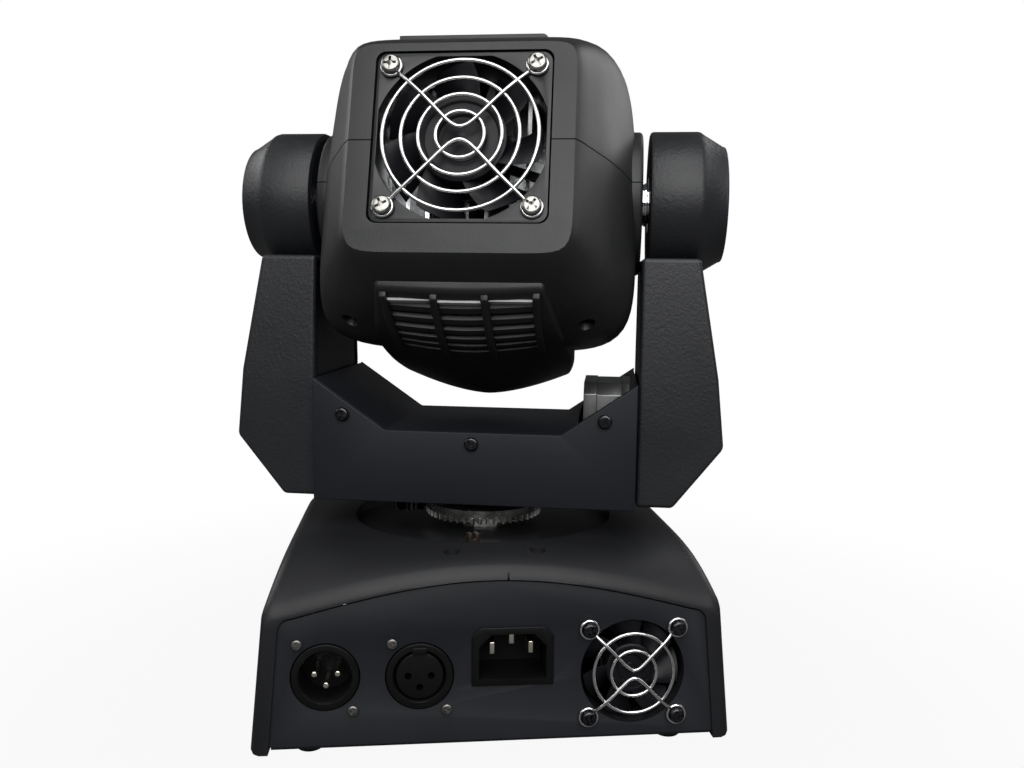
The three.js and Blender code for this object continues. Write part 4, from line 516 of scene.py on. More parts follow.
def fromNode(node, name, angle=1.0):
    # a copy of a CAD node, merged into clean faces, to work on
    piece = nodes[node].copy()
    piece.data = nodes[node].data.copy()
    for key in list(piece.keys()):
        del piece[key]
    piece.parent = None
    piece.name = piece.data.name = name
    piece.hide_render = piece.hide_viewport = False
    bpy.context.scene.collection.objects.link(piece)
    return editAll(piece, mergePoints, lambda: bpy.ops.mesh.dissolve_limited(angle_limit=math.radians(angle)))


def mount(piece, place, body, finish, *replaced):
    # moves a piece from its own working frame to its place on the object
    piece.data.transform(place)
    paint(piece, finish)
    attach(piece, body)
    if replaced:
        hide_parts(*replaced)


# floor: white to the camera far off, with the soft shadow kept near the object
floor = {"size": 6, "tone": 0.12, "rough": 0.9, "shine": 0.1, "from": 0.12, "reach": 0.38, "near": 0.93}


def makeFloor():
    f = floor
    deselect()
    bpy.ops.mesh.primitive_plane_add(size=f["size"], location=(0, 0, 0))
    sheet, tone = newest("floor"), (f["tone"], f["tone"], f["tone"], 1)
    material, add, link, surface, out = startFinish(
        "paleFloor", {"Roughness": f["rough"], "Base Color": tone, "Specular IOR Level": f["shine"]})
    glow, both = add("Emission", (600, 250)), add("MixShader", (800, 100))
    path, share = add("LightPath", (200, 400)), add("Math", (450, 400), operation="MULTIPLY")
    seen = add("Math", (330, 400), operation="MAXIMUM")
    place, away = add("TexCoord", (-400, 100)), add("VectorMath", (-200, 100), operation="LENGTH")
    fade = add("MapRange", (0, 100), {"From Min": f["from"], "From Max": f["reach"], "To Min": f["near"]},
               interpolation_type="SMOOTHSTEP")
    link((place, "Object", away, 0), (away, "Value", fade, "Value"), (fade, 0, share, 1),
         (path, "Is Camera Ray", seen, 0), (path, "Is Transmission Ray", seen, 1), (seen, 0, share, 0),
         (share, 0, both, "Fac"), (surface, 0, both, 1), (glow, 0, both, 2), (both, 0, out, "Surface"))
    sheet.data.materials.append(material)


makeFloor()


# screws: pan heads with a cross recess, head towards -y, seat at y = 0
screw = {"head": 2.7, "rise": 1.9, "edge": 0.95, "slotLength": 3.5, "slotWidth": 0.75, "slotDepth": 1.25,
         "dimple": (2.1, 0.15), "sizes": {"big": 1.25, "panel": 1.0, "small": 0.72}}


def makeScrew(name, size):
    s = screw
    top, reach, half = -s["rise"] * size, s["slotLength"] * size / 2, s["slotWidth"] * size / 2
    bottom, (wide, deeper) = top + s["slotDepth"] * size, s["dimple"]
    piece = addRod(name, s["head"] * size, top, 0, sides=48)
    softenEdges(piece, s["edge"] * size, segments=5)
    carve(piece, addBlock("cut", (-half, top - 1, -reach), (half, bottom, reach)),
          addBlock("cut", (-reach, top - 1, -half), (reach, bottom, half)),
          addRod("cut", half * wide, top - 1, bottom + deeper, sides=24))
    return shadeByAngle(piece, 40)


masters = {size: makeScrew(f"{size}Screw", scale) for size, scale in screw["sizes"].items()}


def addScrew(size, name, place, at, body, finish, turn=0, lay=basePlace):
    mount(copyOf(masters[size], name, shiftBy(*at) @ lay @ turnBy(turn, "Y")), place, body, finish)


# fan guards: rings, two bent wires over them, and an eye round each screw
guards = {
    "head": {"rings": [8.2, 14.2, 20.1, 26.5], "wire": 0.7, "half": 25, "eye": 3.3, "out": 1.6,
             "place": headPlace @ shiftBy(0, -65.5, 0), "screw": ("big", -1.2, "screwSteel"),
             "turns": (17, 31, 13)},
    "base": {"rings": [8.2, 14.5], "wire": 0.64, "half": 16, "eye": 3.1, "out": 1.6,
             "place": rearPlace @ shiftBy(49.1, -0.3, -3.9), "screw": ("panel", -1.1, "darkScrew"),
             "turns": (8, 23, 41)},
}
# shares of the guard's half, of how far the wire stands out, and of the half again
wirePath = [(0.74, 0.8, 0.75), (0.5, 1, 0.52), (0.22, 1, 0.22), (0.1, 1, 0.115), (0, 1, 0.085)]
eyeShare = 0.72


def bentWire(g, up):
    # from one screw eye over the rings, round a soft bend near the centre and back
    half, wire = g["half"], g["wire"]
    outer, eyeEnd = -g["out"] - 1.5 * wire, half - g["eye"] * eyeShare
    points = [(-eyeEnd, -wire, eyeEnd)] + [(-half * a, outer * b, half * c) for a, b, c in wirePath]
    points += [(-x, y, z) for x, y, z in reversed(points[:-1])]
    curve = bpy.data.curves.new("bend", "CURVE")
    curve.dimensions = "3D"
    spline = curve.splines.new("NURBS")
    spline.points.add(len(points) - 1)
    for place, (x, y, z) in zip(spline.points, points):
        place.co = (x * unit, y * unit, up * z * unit, 1)
    spline.use_endpoint_u, spline.order_u, spline.resolution_u = True, 3, 10
    curve.bevel_depth, curve.bevel_resolution, curve.use_fill_caps = wire * unit, 4, True
    focus(linked("bend", curve))
    bpy.ops.object.convert(target="MESH")
    return bpy.context.view_layer.objects.active


def makeGuard(key):
    g = guards[key]
    half, wire = g["half"], g["wire"]
    parts = [addRing("ring", radius, wire, (0, -g["out"], 0)) for radius in g["rings"]]
    parts += [bentWire(g, up) for up in (-1, 1)]
    parts += [addRing("eye", g["eye"], wire, (left * half, -wire, up * half), steps=40, sides=12)
              for left, up in corners]
    mount(shadeByAngle(group(f"{key}FanGuard", *parts), 60), g["place"], key, "guardWire", f"{key}_fan_guard")


def addGuardScrew(key, left, up):
    g, side = guards[key], f"{'left' if left < 0 else 'right'}{'Upper' if up > 0 else 'Lower'}"
    (size, seat, finish), (start, byLeft, byUp) = g["screw"], g["turns"]
    addScrew(size, f"{key}GuardScrew{side}", g["place"], (left * g["half"], seat, up * g["half"]), key, finish,
             start + byLeft * left + byUp * up)


corners = [(left, up) for left in (-1, 1) for up in (-1, 1)]
for key in guards:
    makeGuard(key)
for left, up in corners:
    for key in guards:
        addGuardScrew(key, left, up)
print("guards and screws ready")


def slopeAt(table, row, column):
    # slope of a column at a row that never lets the curve between rows overshoot
    def slope(k):
        return (table[k + 1][column] - table[k][column]) / (table[k + 1][0] - table[k][0])
    last = len(table) - 1
    if row in (0, last):
        return slope(min(row, last - 1))
    before, after = slope(row - 1), slope(row)
    return 0 if before * after <= 0 else 2 * before * after / (before + after)


def blendTable(table, at):
    # smooth values of every column at a place between the rows
    row = next((k for k in range(1, len(table)) if table[k][0] > at), len(table) - 1)
    low, high = table[row - 1], table[row]
    span = high[0] - low[0]
    t = (at - low[0]) / span
    values = []
    for c in range(1, len(low)):
        a, b = slopeAt(table, row - 1, c) * span, slopeAt(table, row, c) * span
        values.append((2 * t**3 - 3 * t**2 + 1) * low[c] + (t**3 - 2 * t**2 + t) * a
                      + (3 * t**2 - 2 * t**3) * high[c] + (t**3 - t**2) * b)
    return values


# base cover: leaning ends with a rounded rim, round shoulders and an arched roof with the dish
cover = {"halfDepth": 69.2, "floor": 5.6, "floorHalf": 85.4, "halfEnd": 81.9, "halfMiddle": 77.2,
         "shoulderEnd": 56, "shoulderMiddle": 71, "crownEnd": 68, "crownMiddle": 76, "shoulderFlat": 5,
         "crownFlat": 8, "leanFlat": 3, "round": 5, "roundSteps": 8, "archSteps": 20, "stations": 30, "crowd": 1.5,
         "sideWall": 6, "roofWall": 3, "rimRound": 3.4, "rimDrop": 0.88, "rimSide": 0.6, "rimSteps": 7,
         "rimTurn": 80, "footRound": 1.8, "postFrom": 40, "dishRadius": 53.1, "dishFloor": 69, "above": 95,
         "dishLip": [(0, -0.9), (0.35, -0.3), (1.2, 0.3)], "postHole": 12.3, "pocketAt": (15.4, -58),
         "pocketRadius": 2.6, "pocketFloor": 71.4, "pocketShape": (1.15, 0.75), "notchAt": 4.0, "notchHalf": 0.35,
         "notchDeep": 2.2, "notchFloor": 65.4}


def coverOutline(y, side, roof, floorAt):
    c = cover
    reach = min(abs(y) / c["halfDepth"], 1)
    shoulderShare, crownShare = 1 - reach ** c["shoulderFlat"], 1 - reach ** c["crownFlat"]
    half = between(c["halfEnd"], c["halfMiddle"], shoulderShare) - side
    shoulder = between(c["shoulderEnd"], c["shoulderMiddle"], shoulderShare) - roof
    crown = between(c["crownEnd"], c["crownMiddle"], crownShare) - roof
    low, r = c["floorHalf"] - side, c["footRound"] if floorAt == c["floor"] else 0
    points = [(low - r, floorAt), (low - 0.3 * r, floorAt + 0.3 * r),
              (low - 0.02 * (1 + r), floorAt + 1.01 * (r + 0.01))]
    for k in range(c["roundSteps"]):
        angle = k / c["roundSteps"] * halfPi
        points.append((half - c["round"] * (1 - math.cos(angle)), shoulder - c["round"] * (1 - math.sin(angle))))
    for k in range(c["archSteps"]):
        share = 1 - k / c["archSteps"]
        points.append(((half - c["round"]) * share, shoulder + (crown - shoulder) * math.cos(halfPi * share)))
    return points + [(0, crown)] + [(-x, z) for x, z in reversed(points)]


def coverSkin(name, side, roof, floorAt, runPast):
    c, places = cover, []
    for k in range(c["stations"] + 1):
        share = 2 * k / c["stations"] - 1
        away = c["halfDepth"] * (1 - (1 - abs(share)) ** c["crowd"])
        places.append((math.copysign(away, share) if share else 0, 0))
    if not roof:  # the outer skin turns in towards both panels
        r, end = c["rimRound"], c["halfDepth"]
        turns = [math.radians(c["rimTurn"] * k / c["rimSteps"]) for k in range(c["rimSteps"] + 1)]
        rim = [(end - r + r * math.sin(turn), r * (1 - math.cos(turn)) * c["rimDrop"]) for turn in turns]
        rim[-1] = (end, rim[-1][1])
        inside = [place for place in places if abs(place[0]) < end - r]
        places = [(-y, inward) for y, inward in reversed(rim)] + inside + rim
    slope = math.tan(math.radians(pose["panelLean"]))
    rings = []
    for k, (y, inward) in enumerate(places):
        lean = -math.copysign(abs(y / c["halfDepth"]) ** c["leanFlat"], y) * slope
        past = math.copysign(runPast, y) if k in (0, len(places) - 1) else 0
        outline = coverOutline(y, side + c["rimSide"] * inward, roof + inward, floorAt)
        rings.append([(x, y + past + lean * (z - pose["panelHeight"]), z) for x, z in outline])
    return skinRings(name, rings)


def makeBaseCover():
    c = cover
    skin = coverSkin("baseCover", 0, 0, c["floor"], 0)
    room = coverSkin("cut", c["sideWall"], c["roofWall"], c["floor"] - 3, 3)
    wall, top, radius, (x, y) = c["roofWall"], c["crownMiddle"], c["dishRadius"], c["pocketAt"]
    carve(room, addRod("cut", radius + wall, c["dishFloor"] - wall, c["above"] - 5, along="Z", sides=96))
    lip = [(radius + out, top + up) for out, up in c["dishLip"]]
    dish = spinProfile("cut", [(0, c["dishFloor"]), (radius, c["dishFloor"]), *lip, (lip[-1][0], c["above"]),
                               (0, c["above"])], "Z", 128)
    post = addRod("cut", c["postHole"], c["postFrom"], c["dishFloor"] + 2, along="Z")
    pockets = []
    for left in (-x, x):
        pocket = addRod("cut", c["pocketRadius"], c["pocketFloor"], top + 4, (left, y, 0), "Z", 32)
        squash = Matrix.Diagonal((*c["pocketShape"], 1, 1))
        pocket.data.transform(shiftBy(left, y, 0) @ squash @ shiftBy(-left, -y, 0))
        pockets.append(pocket)
    notch = addBlock("cut", (c["notchAt"] - c["notchHalf"], -c["halfDepth"] - 3, c["notchFloor"]),
                     (c["notchAt"] + c["notchHalf"], c["notchDeep"] - c["halfDepth"], c["above"] - 5))
    carve(skin, room, dish, post, *pockets, notch)
    shadeByAngle(skin, 38)
    mount(skin, basePlace, "base", "domePlastic", "base_cover")


makeBaseCover()
print("base cover ready")


# feet: turned rubber pads with a rounded lower edge and a screw recess
foot = {"radius": 6, "foot": 5.1, "top": 5.6, "round": 1.1, "hole": 2.2, "deep": 2.4, "edge": 0.4,
        "x": 66.5, "y": 54, "names": {"rear_left": (-1, -1), "rear_right": (1, -1), "front_left": (-1, 1),
                                      "front_right": (1, 1)}}


def makeFeet():
    f = foot
    profile = [(0, f["deep"]), (f["hole"], f["deep"]), (f["hole"], f["edge"]), (f["hole"] + f["edge"], 0),
               *lowCorner(f["foot"], 0, f["round"], 5), (f["radius"], f["top"]), (0, f["top"])]
    for name, (left, back) in f["names"].items():
        piece = spinProfile(f"foot_{name}_pad", profile, "Z", 48, (left * f["x"], back * f["y"], 0))
        shadeByAngle(piece, 40)
        mount(piece, basePlace, "base", "footRubber", f"foot_{name}")


makeFeet()


# panels: a sheet under the arch of the cover, with clean openings
panel = {"sheet": 1.2, "side": 5.95, "roof": 2.96, "bottom": 8.0, "edge": 0.25, "fanHole": 18.9,
         "fan": (49.1, 31.1), "cut": (-2, 4), "male": (-59.5, 32.5), "female": (-26.9, 31.9),
         "socketHole": 12.1, "inlet": (5.8, 38.2), "gap": 0.3, "screws": (9.5, 12.0), "screwSeat": -0.15}
inlet = {"width": 24, "height": 16, "corner": 4.5, "wall": 1.6, "depth": 17, "face": -0.7, "lap": 0.9,
         "flange": (-1.0, -0.3), "flangeCorner": 3.2, "pinX": 7, "pinRise": 1.1, "earthRise": 3.6, "pinWidth": 2,
         "pinHigh": 4.6, "pinLength": 12.5}


def onPanel(height):
    return height - pose["panelHeight"]


def makePanel(name, place, node, cuts):
    p = panel
    outline = [(x, onPanel(z)) for x, z in coverOutline(cover["halfDepth"], p["side"], p["roof"], p["bottom"])]
    sheet = carve(prism(name, outline, 0, p["sheet"]), *cuts)
    softenEdges(sheet, p["edge"], angle=50)
    mount(sheet, place, "base", "panelPaint", node)


def inletOutline(grow, cut=inlet["corner"]):
    i, (x, height) = inlet, panel["inlet"]
    half, top = i["width"] / 2 + grow, onPanel(height) + i["height"] / 2 + grow
    bottom = top - i["height"] - 2 * grow
    return [(x - half, bottom), (x + half, bottom), (x + half, top - cut), (x + half - cut, top),
            (x - half + cut, top), (x - half, top - cut)]


def panelHole(radius, at, sides=64):
    return addRod("cut", radius, *panel["cut"], (at[0], 0, onPanel(at[1])), sides=sides)


makePanel("rearPanel", rearPlace, "rear_panel",
          [panelHole(panel["socketHole"], panel["male"]), panelHole(panel["socketHole"], panel["female"]),
           prism("cut", inletOutline(inlet["wall"] + panel["gap"]), *panel["cut"]),
           panelHole(panel["fanHole"], panel["fan"], 96)])


# data sockets: a turned shell with a rim, three pins in the one and an insert with holes in the other
socket = {"radius": 11.7, "proud": 0.5, "round": 0.45, "depth": 18, "cup": 9.0, "cupEdge": (0.5, 0.6),
          "cupDeep": 13, "insert": 8.35, "insertEdge": 0.5, "groove": 7, "pin": 1.15, "pinCircle": 4.05,
          "pinTip": 2.4, "pinEdge": 0.55, "pinAngles": (0, math.pi, -halfPi), "hole": 1.25, "tab": (2.6, 1.3, 0.2),
          "tabEdge": 0.35, "tabLap": 1.2, "key": (1.6, 1.1), "keyFrom": 0.6, "keyLap": 0.6}


def socketShell(name, x, z):
    s = socket
    out, inward = s["cupEdge"]
    profile = [(0, s["cupDeep"]), (s["cup"], s["cupDeep"]), (s["cup"], inward - s["proud"]),
               (s["cup"] + out, -s["proud"]), *lowCorner(s["radius"], -s["proud"], s["round"], 4),
               (s["radius"], s["depth"]), (0, s["depth"])]
    return spinProfile(name, profile, "Y", 96, (x, 0, z))


def pinPlaces(x, z):
    reach = socket["pinCircle"]
    return [(x + reach * math.cos(angle), 0, z + reach * math.sin(angle)) for angle in socket["pinAngles"]]


def makeDataIn():
    s, (x, height) = socket, panel["male"]
    z, (half, high) = onPanel(height), s["key"]
    top = z + s["cup"]
    shell = socketShell("dataInShell", x, z)
    fuse(shell, addBlock("part", (x - half, s["keyFrom"], top - high),
                         (x + half, s["cupDeep"] + 0.5, top + s["keyLap"])))
    shadeByAngle(shell, 40)
    mount(shell, rearPlace, "base", "socketPlastic", "data_in_socket")
    pins = [addRod("pin", s["pin"], s["pinTip"], s["cupDeep"] - 0.1, at, sides=32) for at in pinPlaces(x, z)]
    for pin in pins:
        softenEdges(pin, s["pinEdge"], segments=4, angle=50)
    mount(group("dataInPins", *pins), rearPlace, "base", "pinBrass")


def makeDataOut():
    s, (x, height) = socket, panel["female"]
    z, (half, high, out) = onPanel(height), s["tab"]
    top = z + s["cup"]
    shell = socketShell("dataOutShell", x, z)
    insert = addRod("part", s["insert"], -0.1, s["cupDeep"] + 0.5, (x, 0, z), sides=96)
    softenEdges(insert, s["insertEdge"], segments=3, angle=50)
    carve(insert, *[addRod("cut", s["hole"], -1, s["groove"], at, sides=32) for at in pinPlaces(x, z)])
    tab = addBlock("part", (x - half, -s["proud"] - out, top - high), (x + half, s["groove"], top + s["tabLap"]))
    softenEdges(tab, s["tabEdge"], segments=3)
    fuse(shell, insert, tab)
    shadeByAngle(shell, 40)
    mount(shell, rearPlace, "base", "socketPlastic", "data_out_socket")


def makeMainsInlet():
    i, (x, height) = inlet, panel["inlet"]
    body = prism("mainsInlet", inletOutline(i["wall"]), i["face"], i["depth"] + i["wall"])
    flange = prism("part", inletOutline(i["wall"] + i["lap"], i["flangeCorner"]), *i["flange"])
    fuse(body, softenEdges(flange, 0.4, segments=3, angle=40))
    carve(body, prism("cut", inletOutline(0), -4, i["depth"]))
    softenEdges(body, 0.3, angle=50)
    mount(body, rearPlace, "base", "socketPlastic", "mains_inlet")
    row, pins = onPanel(height) + i["pinRise"], []
    for across, rise in ((-i["pinX"], 0), (i["pinX"], 0), (0, i["earthRise"])):
        low = (x + across - i["pinWidth"] / 2, i["depth"] - i["pinLength"], row + rise - i["pinHigh"] / 2)
        pin = addBlock("pin", low, (low[0] + i["pinWidth"], i["depth"] - 0.05, low[2] + i["pinHigh"]))
        pins.append(softenEdges(pin, 0.45, segments=3))
    mount(group("inletPins", *pins), rearPlace, "base", "pinBrass")


makeDataIn()
makeDataOut()
makeMainsInlet()
for label, firstTurn in (("male", 9), ("female", 50)):
    (x, height), (across, up) = panel[label], panel["screws"]
    for way, tag in ((-1, "Upper"), (1, "Lower")):
        at = (x + way * across, panel["screwSeat"], onPanel(height) - way * up)
        addScrew("small", f"{label}Screw{tag}", rearPlace, at, "base", "dullScrew", 20 * way + firstTurn)
print("connector panel ready")


# fans: an open square frame and a turned hub with curved blades
fans = {
    "head": {"side": 60, "corner": 3.5, "depth": 18.6, "start": -65.4, "bore": 30.3, "clip": 28.8, "hub": 15.6,
             "rotorDepth": 12.8, "tip": 27.6, "spread": 38, "strut": 3.2, "screw": 25, "screwHole": 1.7,
             "place": headPlace},
    "base": {"side": 40, "corner": 2.5, "depth": 10, "start": 1.5, "bore": 19.1, "clip": 19.2, "hub": 9.2,
             "rotorDepth": 7.4, "tip": 17.6, "spread": 40, "strut": 2.6, "screw": 16, "screwHole": 1.5,
             "place": rearPlace @ shiftBy(49.1, 0, -3.9)},
}
fanShape = {"floor": 1.6, "edge": 0.35, "clipCorner": 4, "strutTurn": 0.3, "seatLap": 0.6, "blades": 7,
            "lean": 12.8, "rootWider": 6, "tipNarrower": 2, "camber": 0.10, "thick": 0.55, "steps": 10,
            "stations": 9, "bladeFrom": 1.4, "bladeShort": 2.6}
# share of the hub's radius, and how far in
hubProfile = [(0, 0.9), (0.16, 0.9), (0.2, 1.3), (0.5, 1.3), (0.56, 0.5), (0.80, 0.5), (0.84, 0)]


def makeFanFrame(key):
    f, s = fans[key], fanShape
    start, back = f["start"], f["start"] + f["depth"]
    body = prism(f"{key}FanFrame", roundedOutline(f["side"], f["side"], f["corner"]), start, back)
    opening = addRod("cut", f["bore"], start - 3, back + 3, sides=128)
    clip = prism("clip", roundedOutline(2 * f["clip"], 2 * f["clip"], s["clipCorner"]), start - 4, back + 4)
    combine(opening, [clip], "INTERSECT")
    holes = [addRod("cut", f["screwHole"], start - 2, back + 2, (left * f["screw"], 0, up * f["screw"]), sides=24)
             for left, up in corners]
    carve(body, opening, group("cut", *holes))
    softenEdges(body, s["edge"], angle=50)
    parts = [addRod("part", f["hub"] + s["seatLap"], back - s["floor"], back)]
    for turn in range(4):
        strut = addBlock("part", (-f["strut"] / 2, back - s["floor"], f["hub"] - 2),
                         (f["strut"] / 2, back, f["clip"] + s["seatLap"]))
        strut.data.transform(Matrix.Rotation(turn * halfPi + s["strutTurn"], 4, "Y"))
        parts.append(strut)
    fuse(body, *parts)
    mount(body, f["place"], key, "fanPlastic", f"{key}_fan_frame")


def bladeRings(f):
    # a blade is a cambered section swept from the hub to the tip
    s, rings = fanShape, []
    for k in range(s["stations"]):
        share = k / (s["stations"] - 1)
        radius = between(f["hub"] - s["seatLap"], f["tip"], share)
        width = math.radians(between(f["spread"] + s["rootWider"], f["spread"] - s["tipNarrower"], share))
        upper = [(j / s["steps"], 1) for j in range(s["steps"] + 1)]
        ring = []
        for u, side in upper + [(u, -1) for u, _ in reversed(upper[1:-1])]:
            angle = math.radians(-s["lean"] * share) + (u - 0.5) * width
            bulge = math.sin(math.pi * u)
            thick = side * s["thick"] * bulge ** 0.5 if 0 < u < 1 else 0
            y = (f["start"] + s["bladeFrom"] + (f["rotorDepth"] - s["bladeShort"]) * (1 - u)
                 - bulge * s["camber"] * f["rotorDepth"] + thick)
            ring.append((radius * math.sin(angle), y, radius * math.cos(angle)))
        rings.append(ring)
    return rings


def makeFanRotor(key):
    f, blades = fans[key], fanShape["blades"]
    front, back, hub = f["start"] + 1.0, f["start"] + f["rotorDepth"], f["hub"]
    profile = [(hub * share, front + inward) for share, inward in hubProfile]
    profile += [(hub - 0.9, front), (hub - 0.25, front + 0.3), (hub, front + 1.0), (hub, back), (0, back)]
    rotor = shadeByAngle(spinProfile("hub", profile), 35)
    first = shadeByAngle(skinRings("blade", bladeRings(f)), 50)
    others = [copyOf(first, "blade", turnBy(360 * k / blades, "Y")) for k in range(1, blades)]
    group(f"{key}FanRotor", rotor, first, *others)
    # the rotor gets the darker copy of the fan plastic: painted shade
    mount(rotor, f["place"], f"{key}_fan_rotor", "shadedRotorPlastic", f"{key}_fan_rotor")


for key in fans:
    makeFanFrame(key)
    makeFanRotor(key)
print("fans ready")


# pan gear: straight teeth under a plain bright band
panGear = {"teeth": 48, "flank": [(21.6, 0.30), (23.95, 0.19), (24.3, 0.12)], "band": 24.2, "bandEdge": (0.2, 0.3),
           "bottom": 73.4, "bandFrom": 75.6, "top": 79, "bore": 12.4}


def makePanGear():
    g = panGear
    step, band, (low, high) = 2 * math.pi / g["teeth"], g["band"], g["bandEdge"]
    tooth = [(radius, -share) for radius, share in g["flank"]] + g["flank"][::-1]
    outline = [(radius * math.cos((k + share) * step), radius * math.sin((k + share) * step))
               for k in range(g["teeth"]) for radius, share in tooth]
    gear = prism("panGearWheel", outline, g["bottom"], g["bandFrom"] + 0.2, "Z")
    fuse(gear, spinProfile("part", [(0, g["bandFrom"]), (band - low, g["bandFrom"]), (band, g["bandFrom"] + low),
                                    (band, g["top"] - high), (band - high, g["top"]), (0, g["top"])], "Z", 128))
    carve(gear, addRod("cut", g["bore"], g["bottom"] - 2, g["top"] + 2, along="Z"))
    shadeByAngle(gear, 30)
    mount(gear, basePlace, "base", "gearSteel", "pan_gear")


makePanGear()


# small sensor block beside the gear, lower than the pinion that passes over it
sensor = {"low": (-2.3, -2.0, 0), "high": (2.3, 2.0, 3.9), "at": (-6.6, -34, 69.1), "turn": 14, "slot": 0.9,
          "slotFloor": 2.0, "edge": 0.4}


def makeSensor():
    s = sensor
    block = addBlock("panSensor", s["low"], s["high"])
    carve(block, addBlock("cut", (-s["slot"] / 2, -9, s["slotFloor"]), (s["slot"] / 2, 9, 12)))
    softenEdges(block, s["edge"], segments=3)
    block.data.transform(shiftBy(*s["at"]) @ turnBy(s["turn"], "Z"))
    mount(block, basePlace, "base", "sensorPlastic")


makeSensor()
print("gear ready")


# yoke: folded channel and lid with soft folds, and their screws
yoke = {"edge": 0.5, "screwSeat": -34.9,
        "screws": [("Left", -50.3, 117.9, 10), ("Middle", 0, 107.8, 55), ("Right", 50.3, 117.9, 32)]}


def makeYokeSheets():
    for node, name in (("yoke_channel", "yokeChannel"), ("yoke_lid", "yokeLid")):
        mount(softenEdges(fromNode(node, name), yoke["edge"], segments=3), basePlace, "yoke", "sheetPaint", node)
    for tag, x, z, turn in yoke["screws"]:
        for side, place, way in (("Near", yokePlace, 1), ("Far", yokePlace @ turnBy(180, "Z"), -1)):
            addScrew("panel", f"crossbarScrew{side}{tag}", place, (x, yoke["screwSeat"], z), "yoke", "darkScrew",
                     way * turn)


makeYokeSheets()


# tilt motor: a square stack with bevelled corners between two cast ends
tiltMotor = {"half": 17.2, "corner": 4.4, "from": 41.6, "to": 61.9, "height": 113, "cap": 5.2, "step": 0.35,
             "edge": 0.3}


def motorBlock(half, low, high):
    m = tiltMotor
    cut, up = half - m["corner"], m["height"]
    outline = [(half, up + cut), (cut, up + half), (-cut, up + half), (-half, up + cut),
               (-half, up - cut), (-cut, up - half), (cut, up - half), (half, up - cut)]
    return softenEdges(prism("part", outline, low, high, "X"), m["edge"])


def makeTiltMotor():
    m = tiltMotor
    stack = motorBlock(m["half"] - m["step"], m["from"] + m["cap"], m["to"] - m["cap"])
    fuse(stack, motorBlock(m["half"], m["from"], m["from"] + m["cap"]),
         motorBlock(m["half"], m["to"] - m["cap"], m["to"]))
    stack.name = "tiltMotorBody"
    shadeByAngle(stack, 30)
    mount(stack, yokePlace, "yoke", "motorGrey", "tilt_motor")


makeTiltMotor()


# arms: a tapered box with soft edges under a drum whose outer rim is coned
arm = {"inner": 62.6, "drumInner": 65, "wall": 2.4, "edge": 1.5, "axis": 200.2,
       "levels": [(83.9, 76.6, 28.6), (107.8, 94.8, 29.8), (134, 91.9, 30.8), (178.6, 84.3, 27.6)],
       "drum": 28.1, "shoulder": 84.6, "face": 94.1, "faceRadius": 21.2, "faceRound": (1.2, 1.6),
       "faceTurns": (0.39, 67.5), "round": 1.3, "passHalf": 15.4, "passFrom": 173, "passTo": 81.9}


def armBox(name, wall, inner):
    rings, last = [], len(arm["levels"]) - 1
    for k, (z, outer, half) in enumerate(arm["levels"]):
        z += wall if k == 0 else -wall if k == last else 0
        out, deep = outer - wall, half - wall
        rings.append([(out, deep, z), (inner, deep, z), (inner, -deep, z), (out, -deep, z)])
    return skinRings(name, rings)


def armDrum(name, wall, inner):
    a, r = arm, arm["round"]
    drum, shoulder = a["drum"] - wall, a["shoulder"]
    (across, deep), (first, turned) = a["faceRound"], a["faceTurns"]
    profile = [(0, inner), (drum - r, inner), (drum - 0.3 * r, inner + 0.3 * r), (drum, inner + r),
               (drum, shoulder - r), (drum - 0.25 * r, shoulder - 0.1 * r), (drum - 0.9 * r, shoulder + 0.8 * r)]
    for k in range(5):
        turn = math.radians(turned) * k / 4
        profile.append((a["faceRadius"] - wall + across * math.cos(turn),
                        a["face"] - wall - deep + deep * math.sin(turn + first)))
    profile.append((0, a["face"] - wall))
    return spinProfile(name, profile, "X", 128, (0, 0, a["axis"]))


def makeArms():
    a = arm
    right = armBox("rightArmCover", 0, a["inner"])
    softenEdges(right, a["edge"], segments=4, angle=8)
    fuse(right, armDrum("part", 0, a["drumInner"]))
    inside = armBox("cut", a["wall"], a["inner"] - 3)
    fuse(inside, armDrum("part", a["wall"], a["drumInner"] - 3),
         addBlock("cut", (a["inner"] - 3, -a["passHalf"], a["passFrom"]), (a["passTo"], a["passHalf"], a["axis"])))
    shadeByAngle(carve(right, inside), 28)
    left = copyOf(right, "leftArmCover", mirrorX)
    mount(right, yokePlace, "yoke", "armPaint", "right_arm_cover")
    mount(left, yokePlace, "yoke", "armPaint", "left_arm_cover")


makeArms()


# tilt shafts: a turned bush with a bright face and a groove
shaft = {"bore": 4.5, "journal": 7.6, "bush": 8.5, "bushEnd": 64.7, "start": 53.9, "flange": 13, "flangeEnd": 56.5,
         "ends": {"left": (-1, 72), "right": (1, 80)}, "edge": 0.5,
         "groove": [(0, 62.9), (0.4, 63.1), (0.4, 63.4), (0, 63.6)]}


def makeShafts():
    s = shaft
    bush, bushEnd, journal, e = s["bush"], s["bushEnd"], s["journal"], s["edge"]
    for name, (side, end) in s["ends"].items():
        profile = [(s["bore"], s["start"]), (s["flange"], s["start"]), (s["flange"], s["flangeEnd"]),
                   (bush, s["flangeEnd"]), *[(bush - deep, x) for deep, x in s["groove"]], (bush, bushEnd - e),
                   (bush - e, bushEnd), (journal, bushEnd), (journal, end - e), (journal - e, end),
                   (s["bore"], end)]
        piece = spinProfile(f"{name}TiltShaftTurned", [(r, side * x) for r, x in profile], "X")
        shadeByAngle(piece, 30)
        mount(piece, headPlace, "head", "bushSteel", f"{name}_tilt_shaft")


makeShafts()
print("yoke ready")


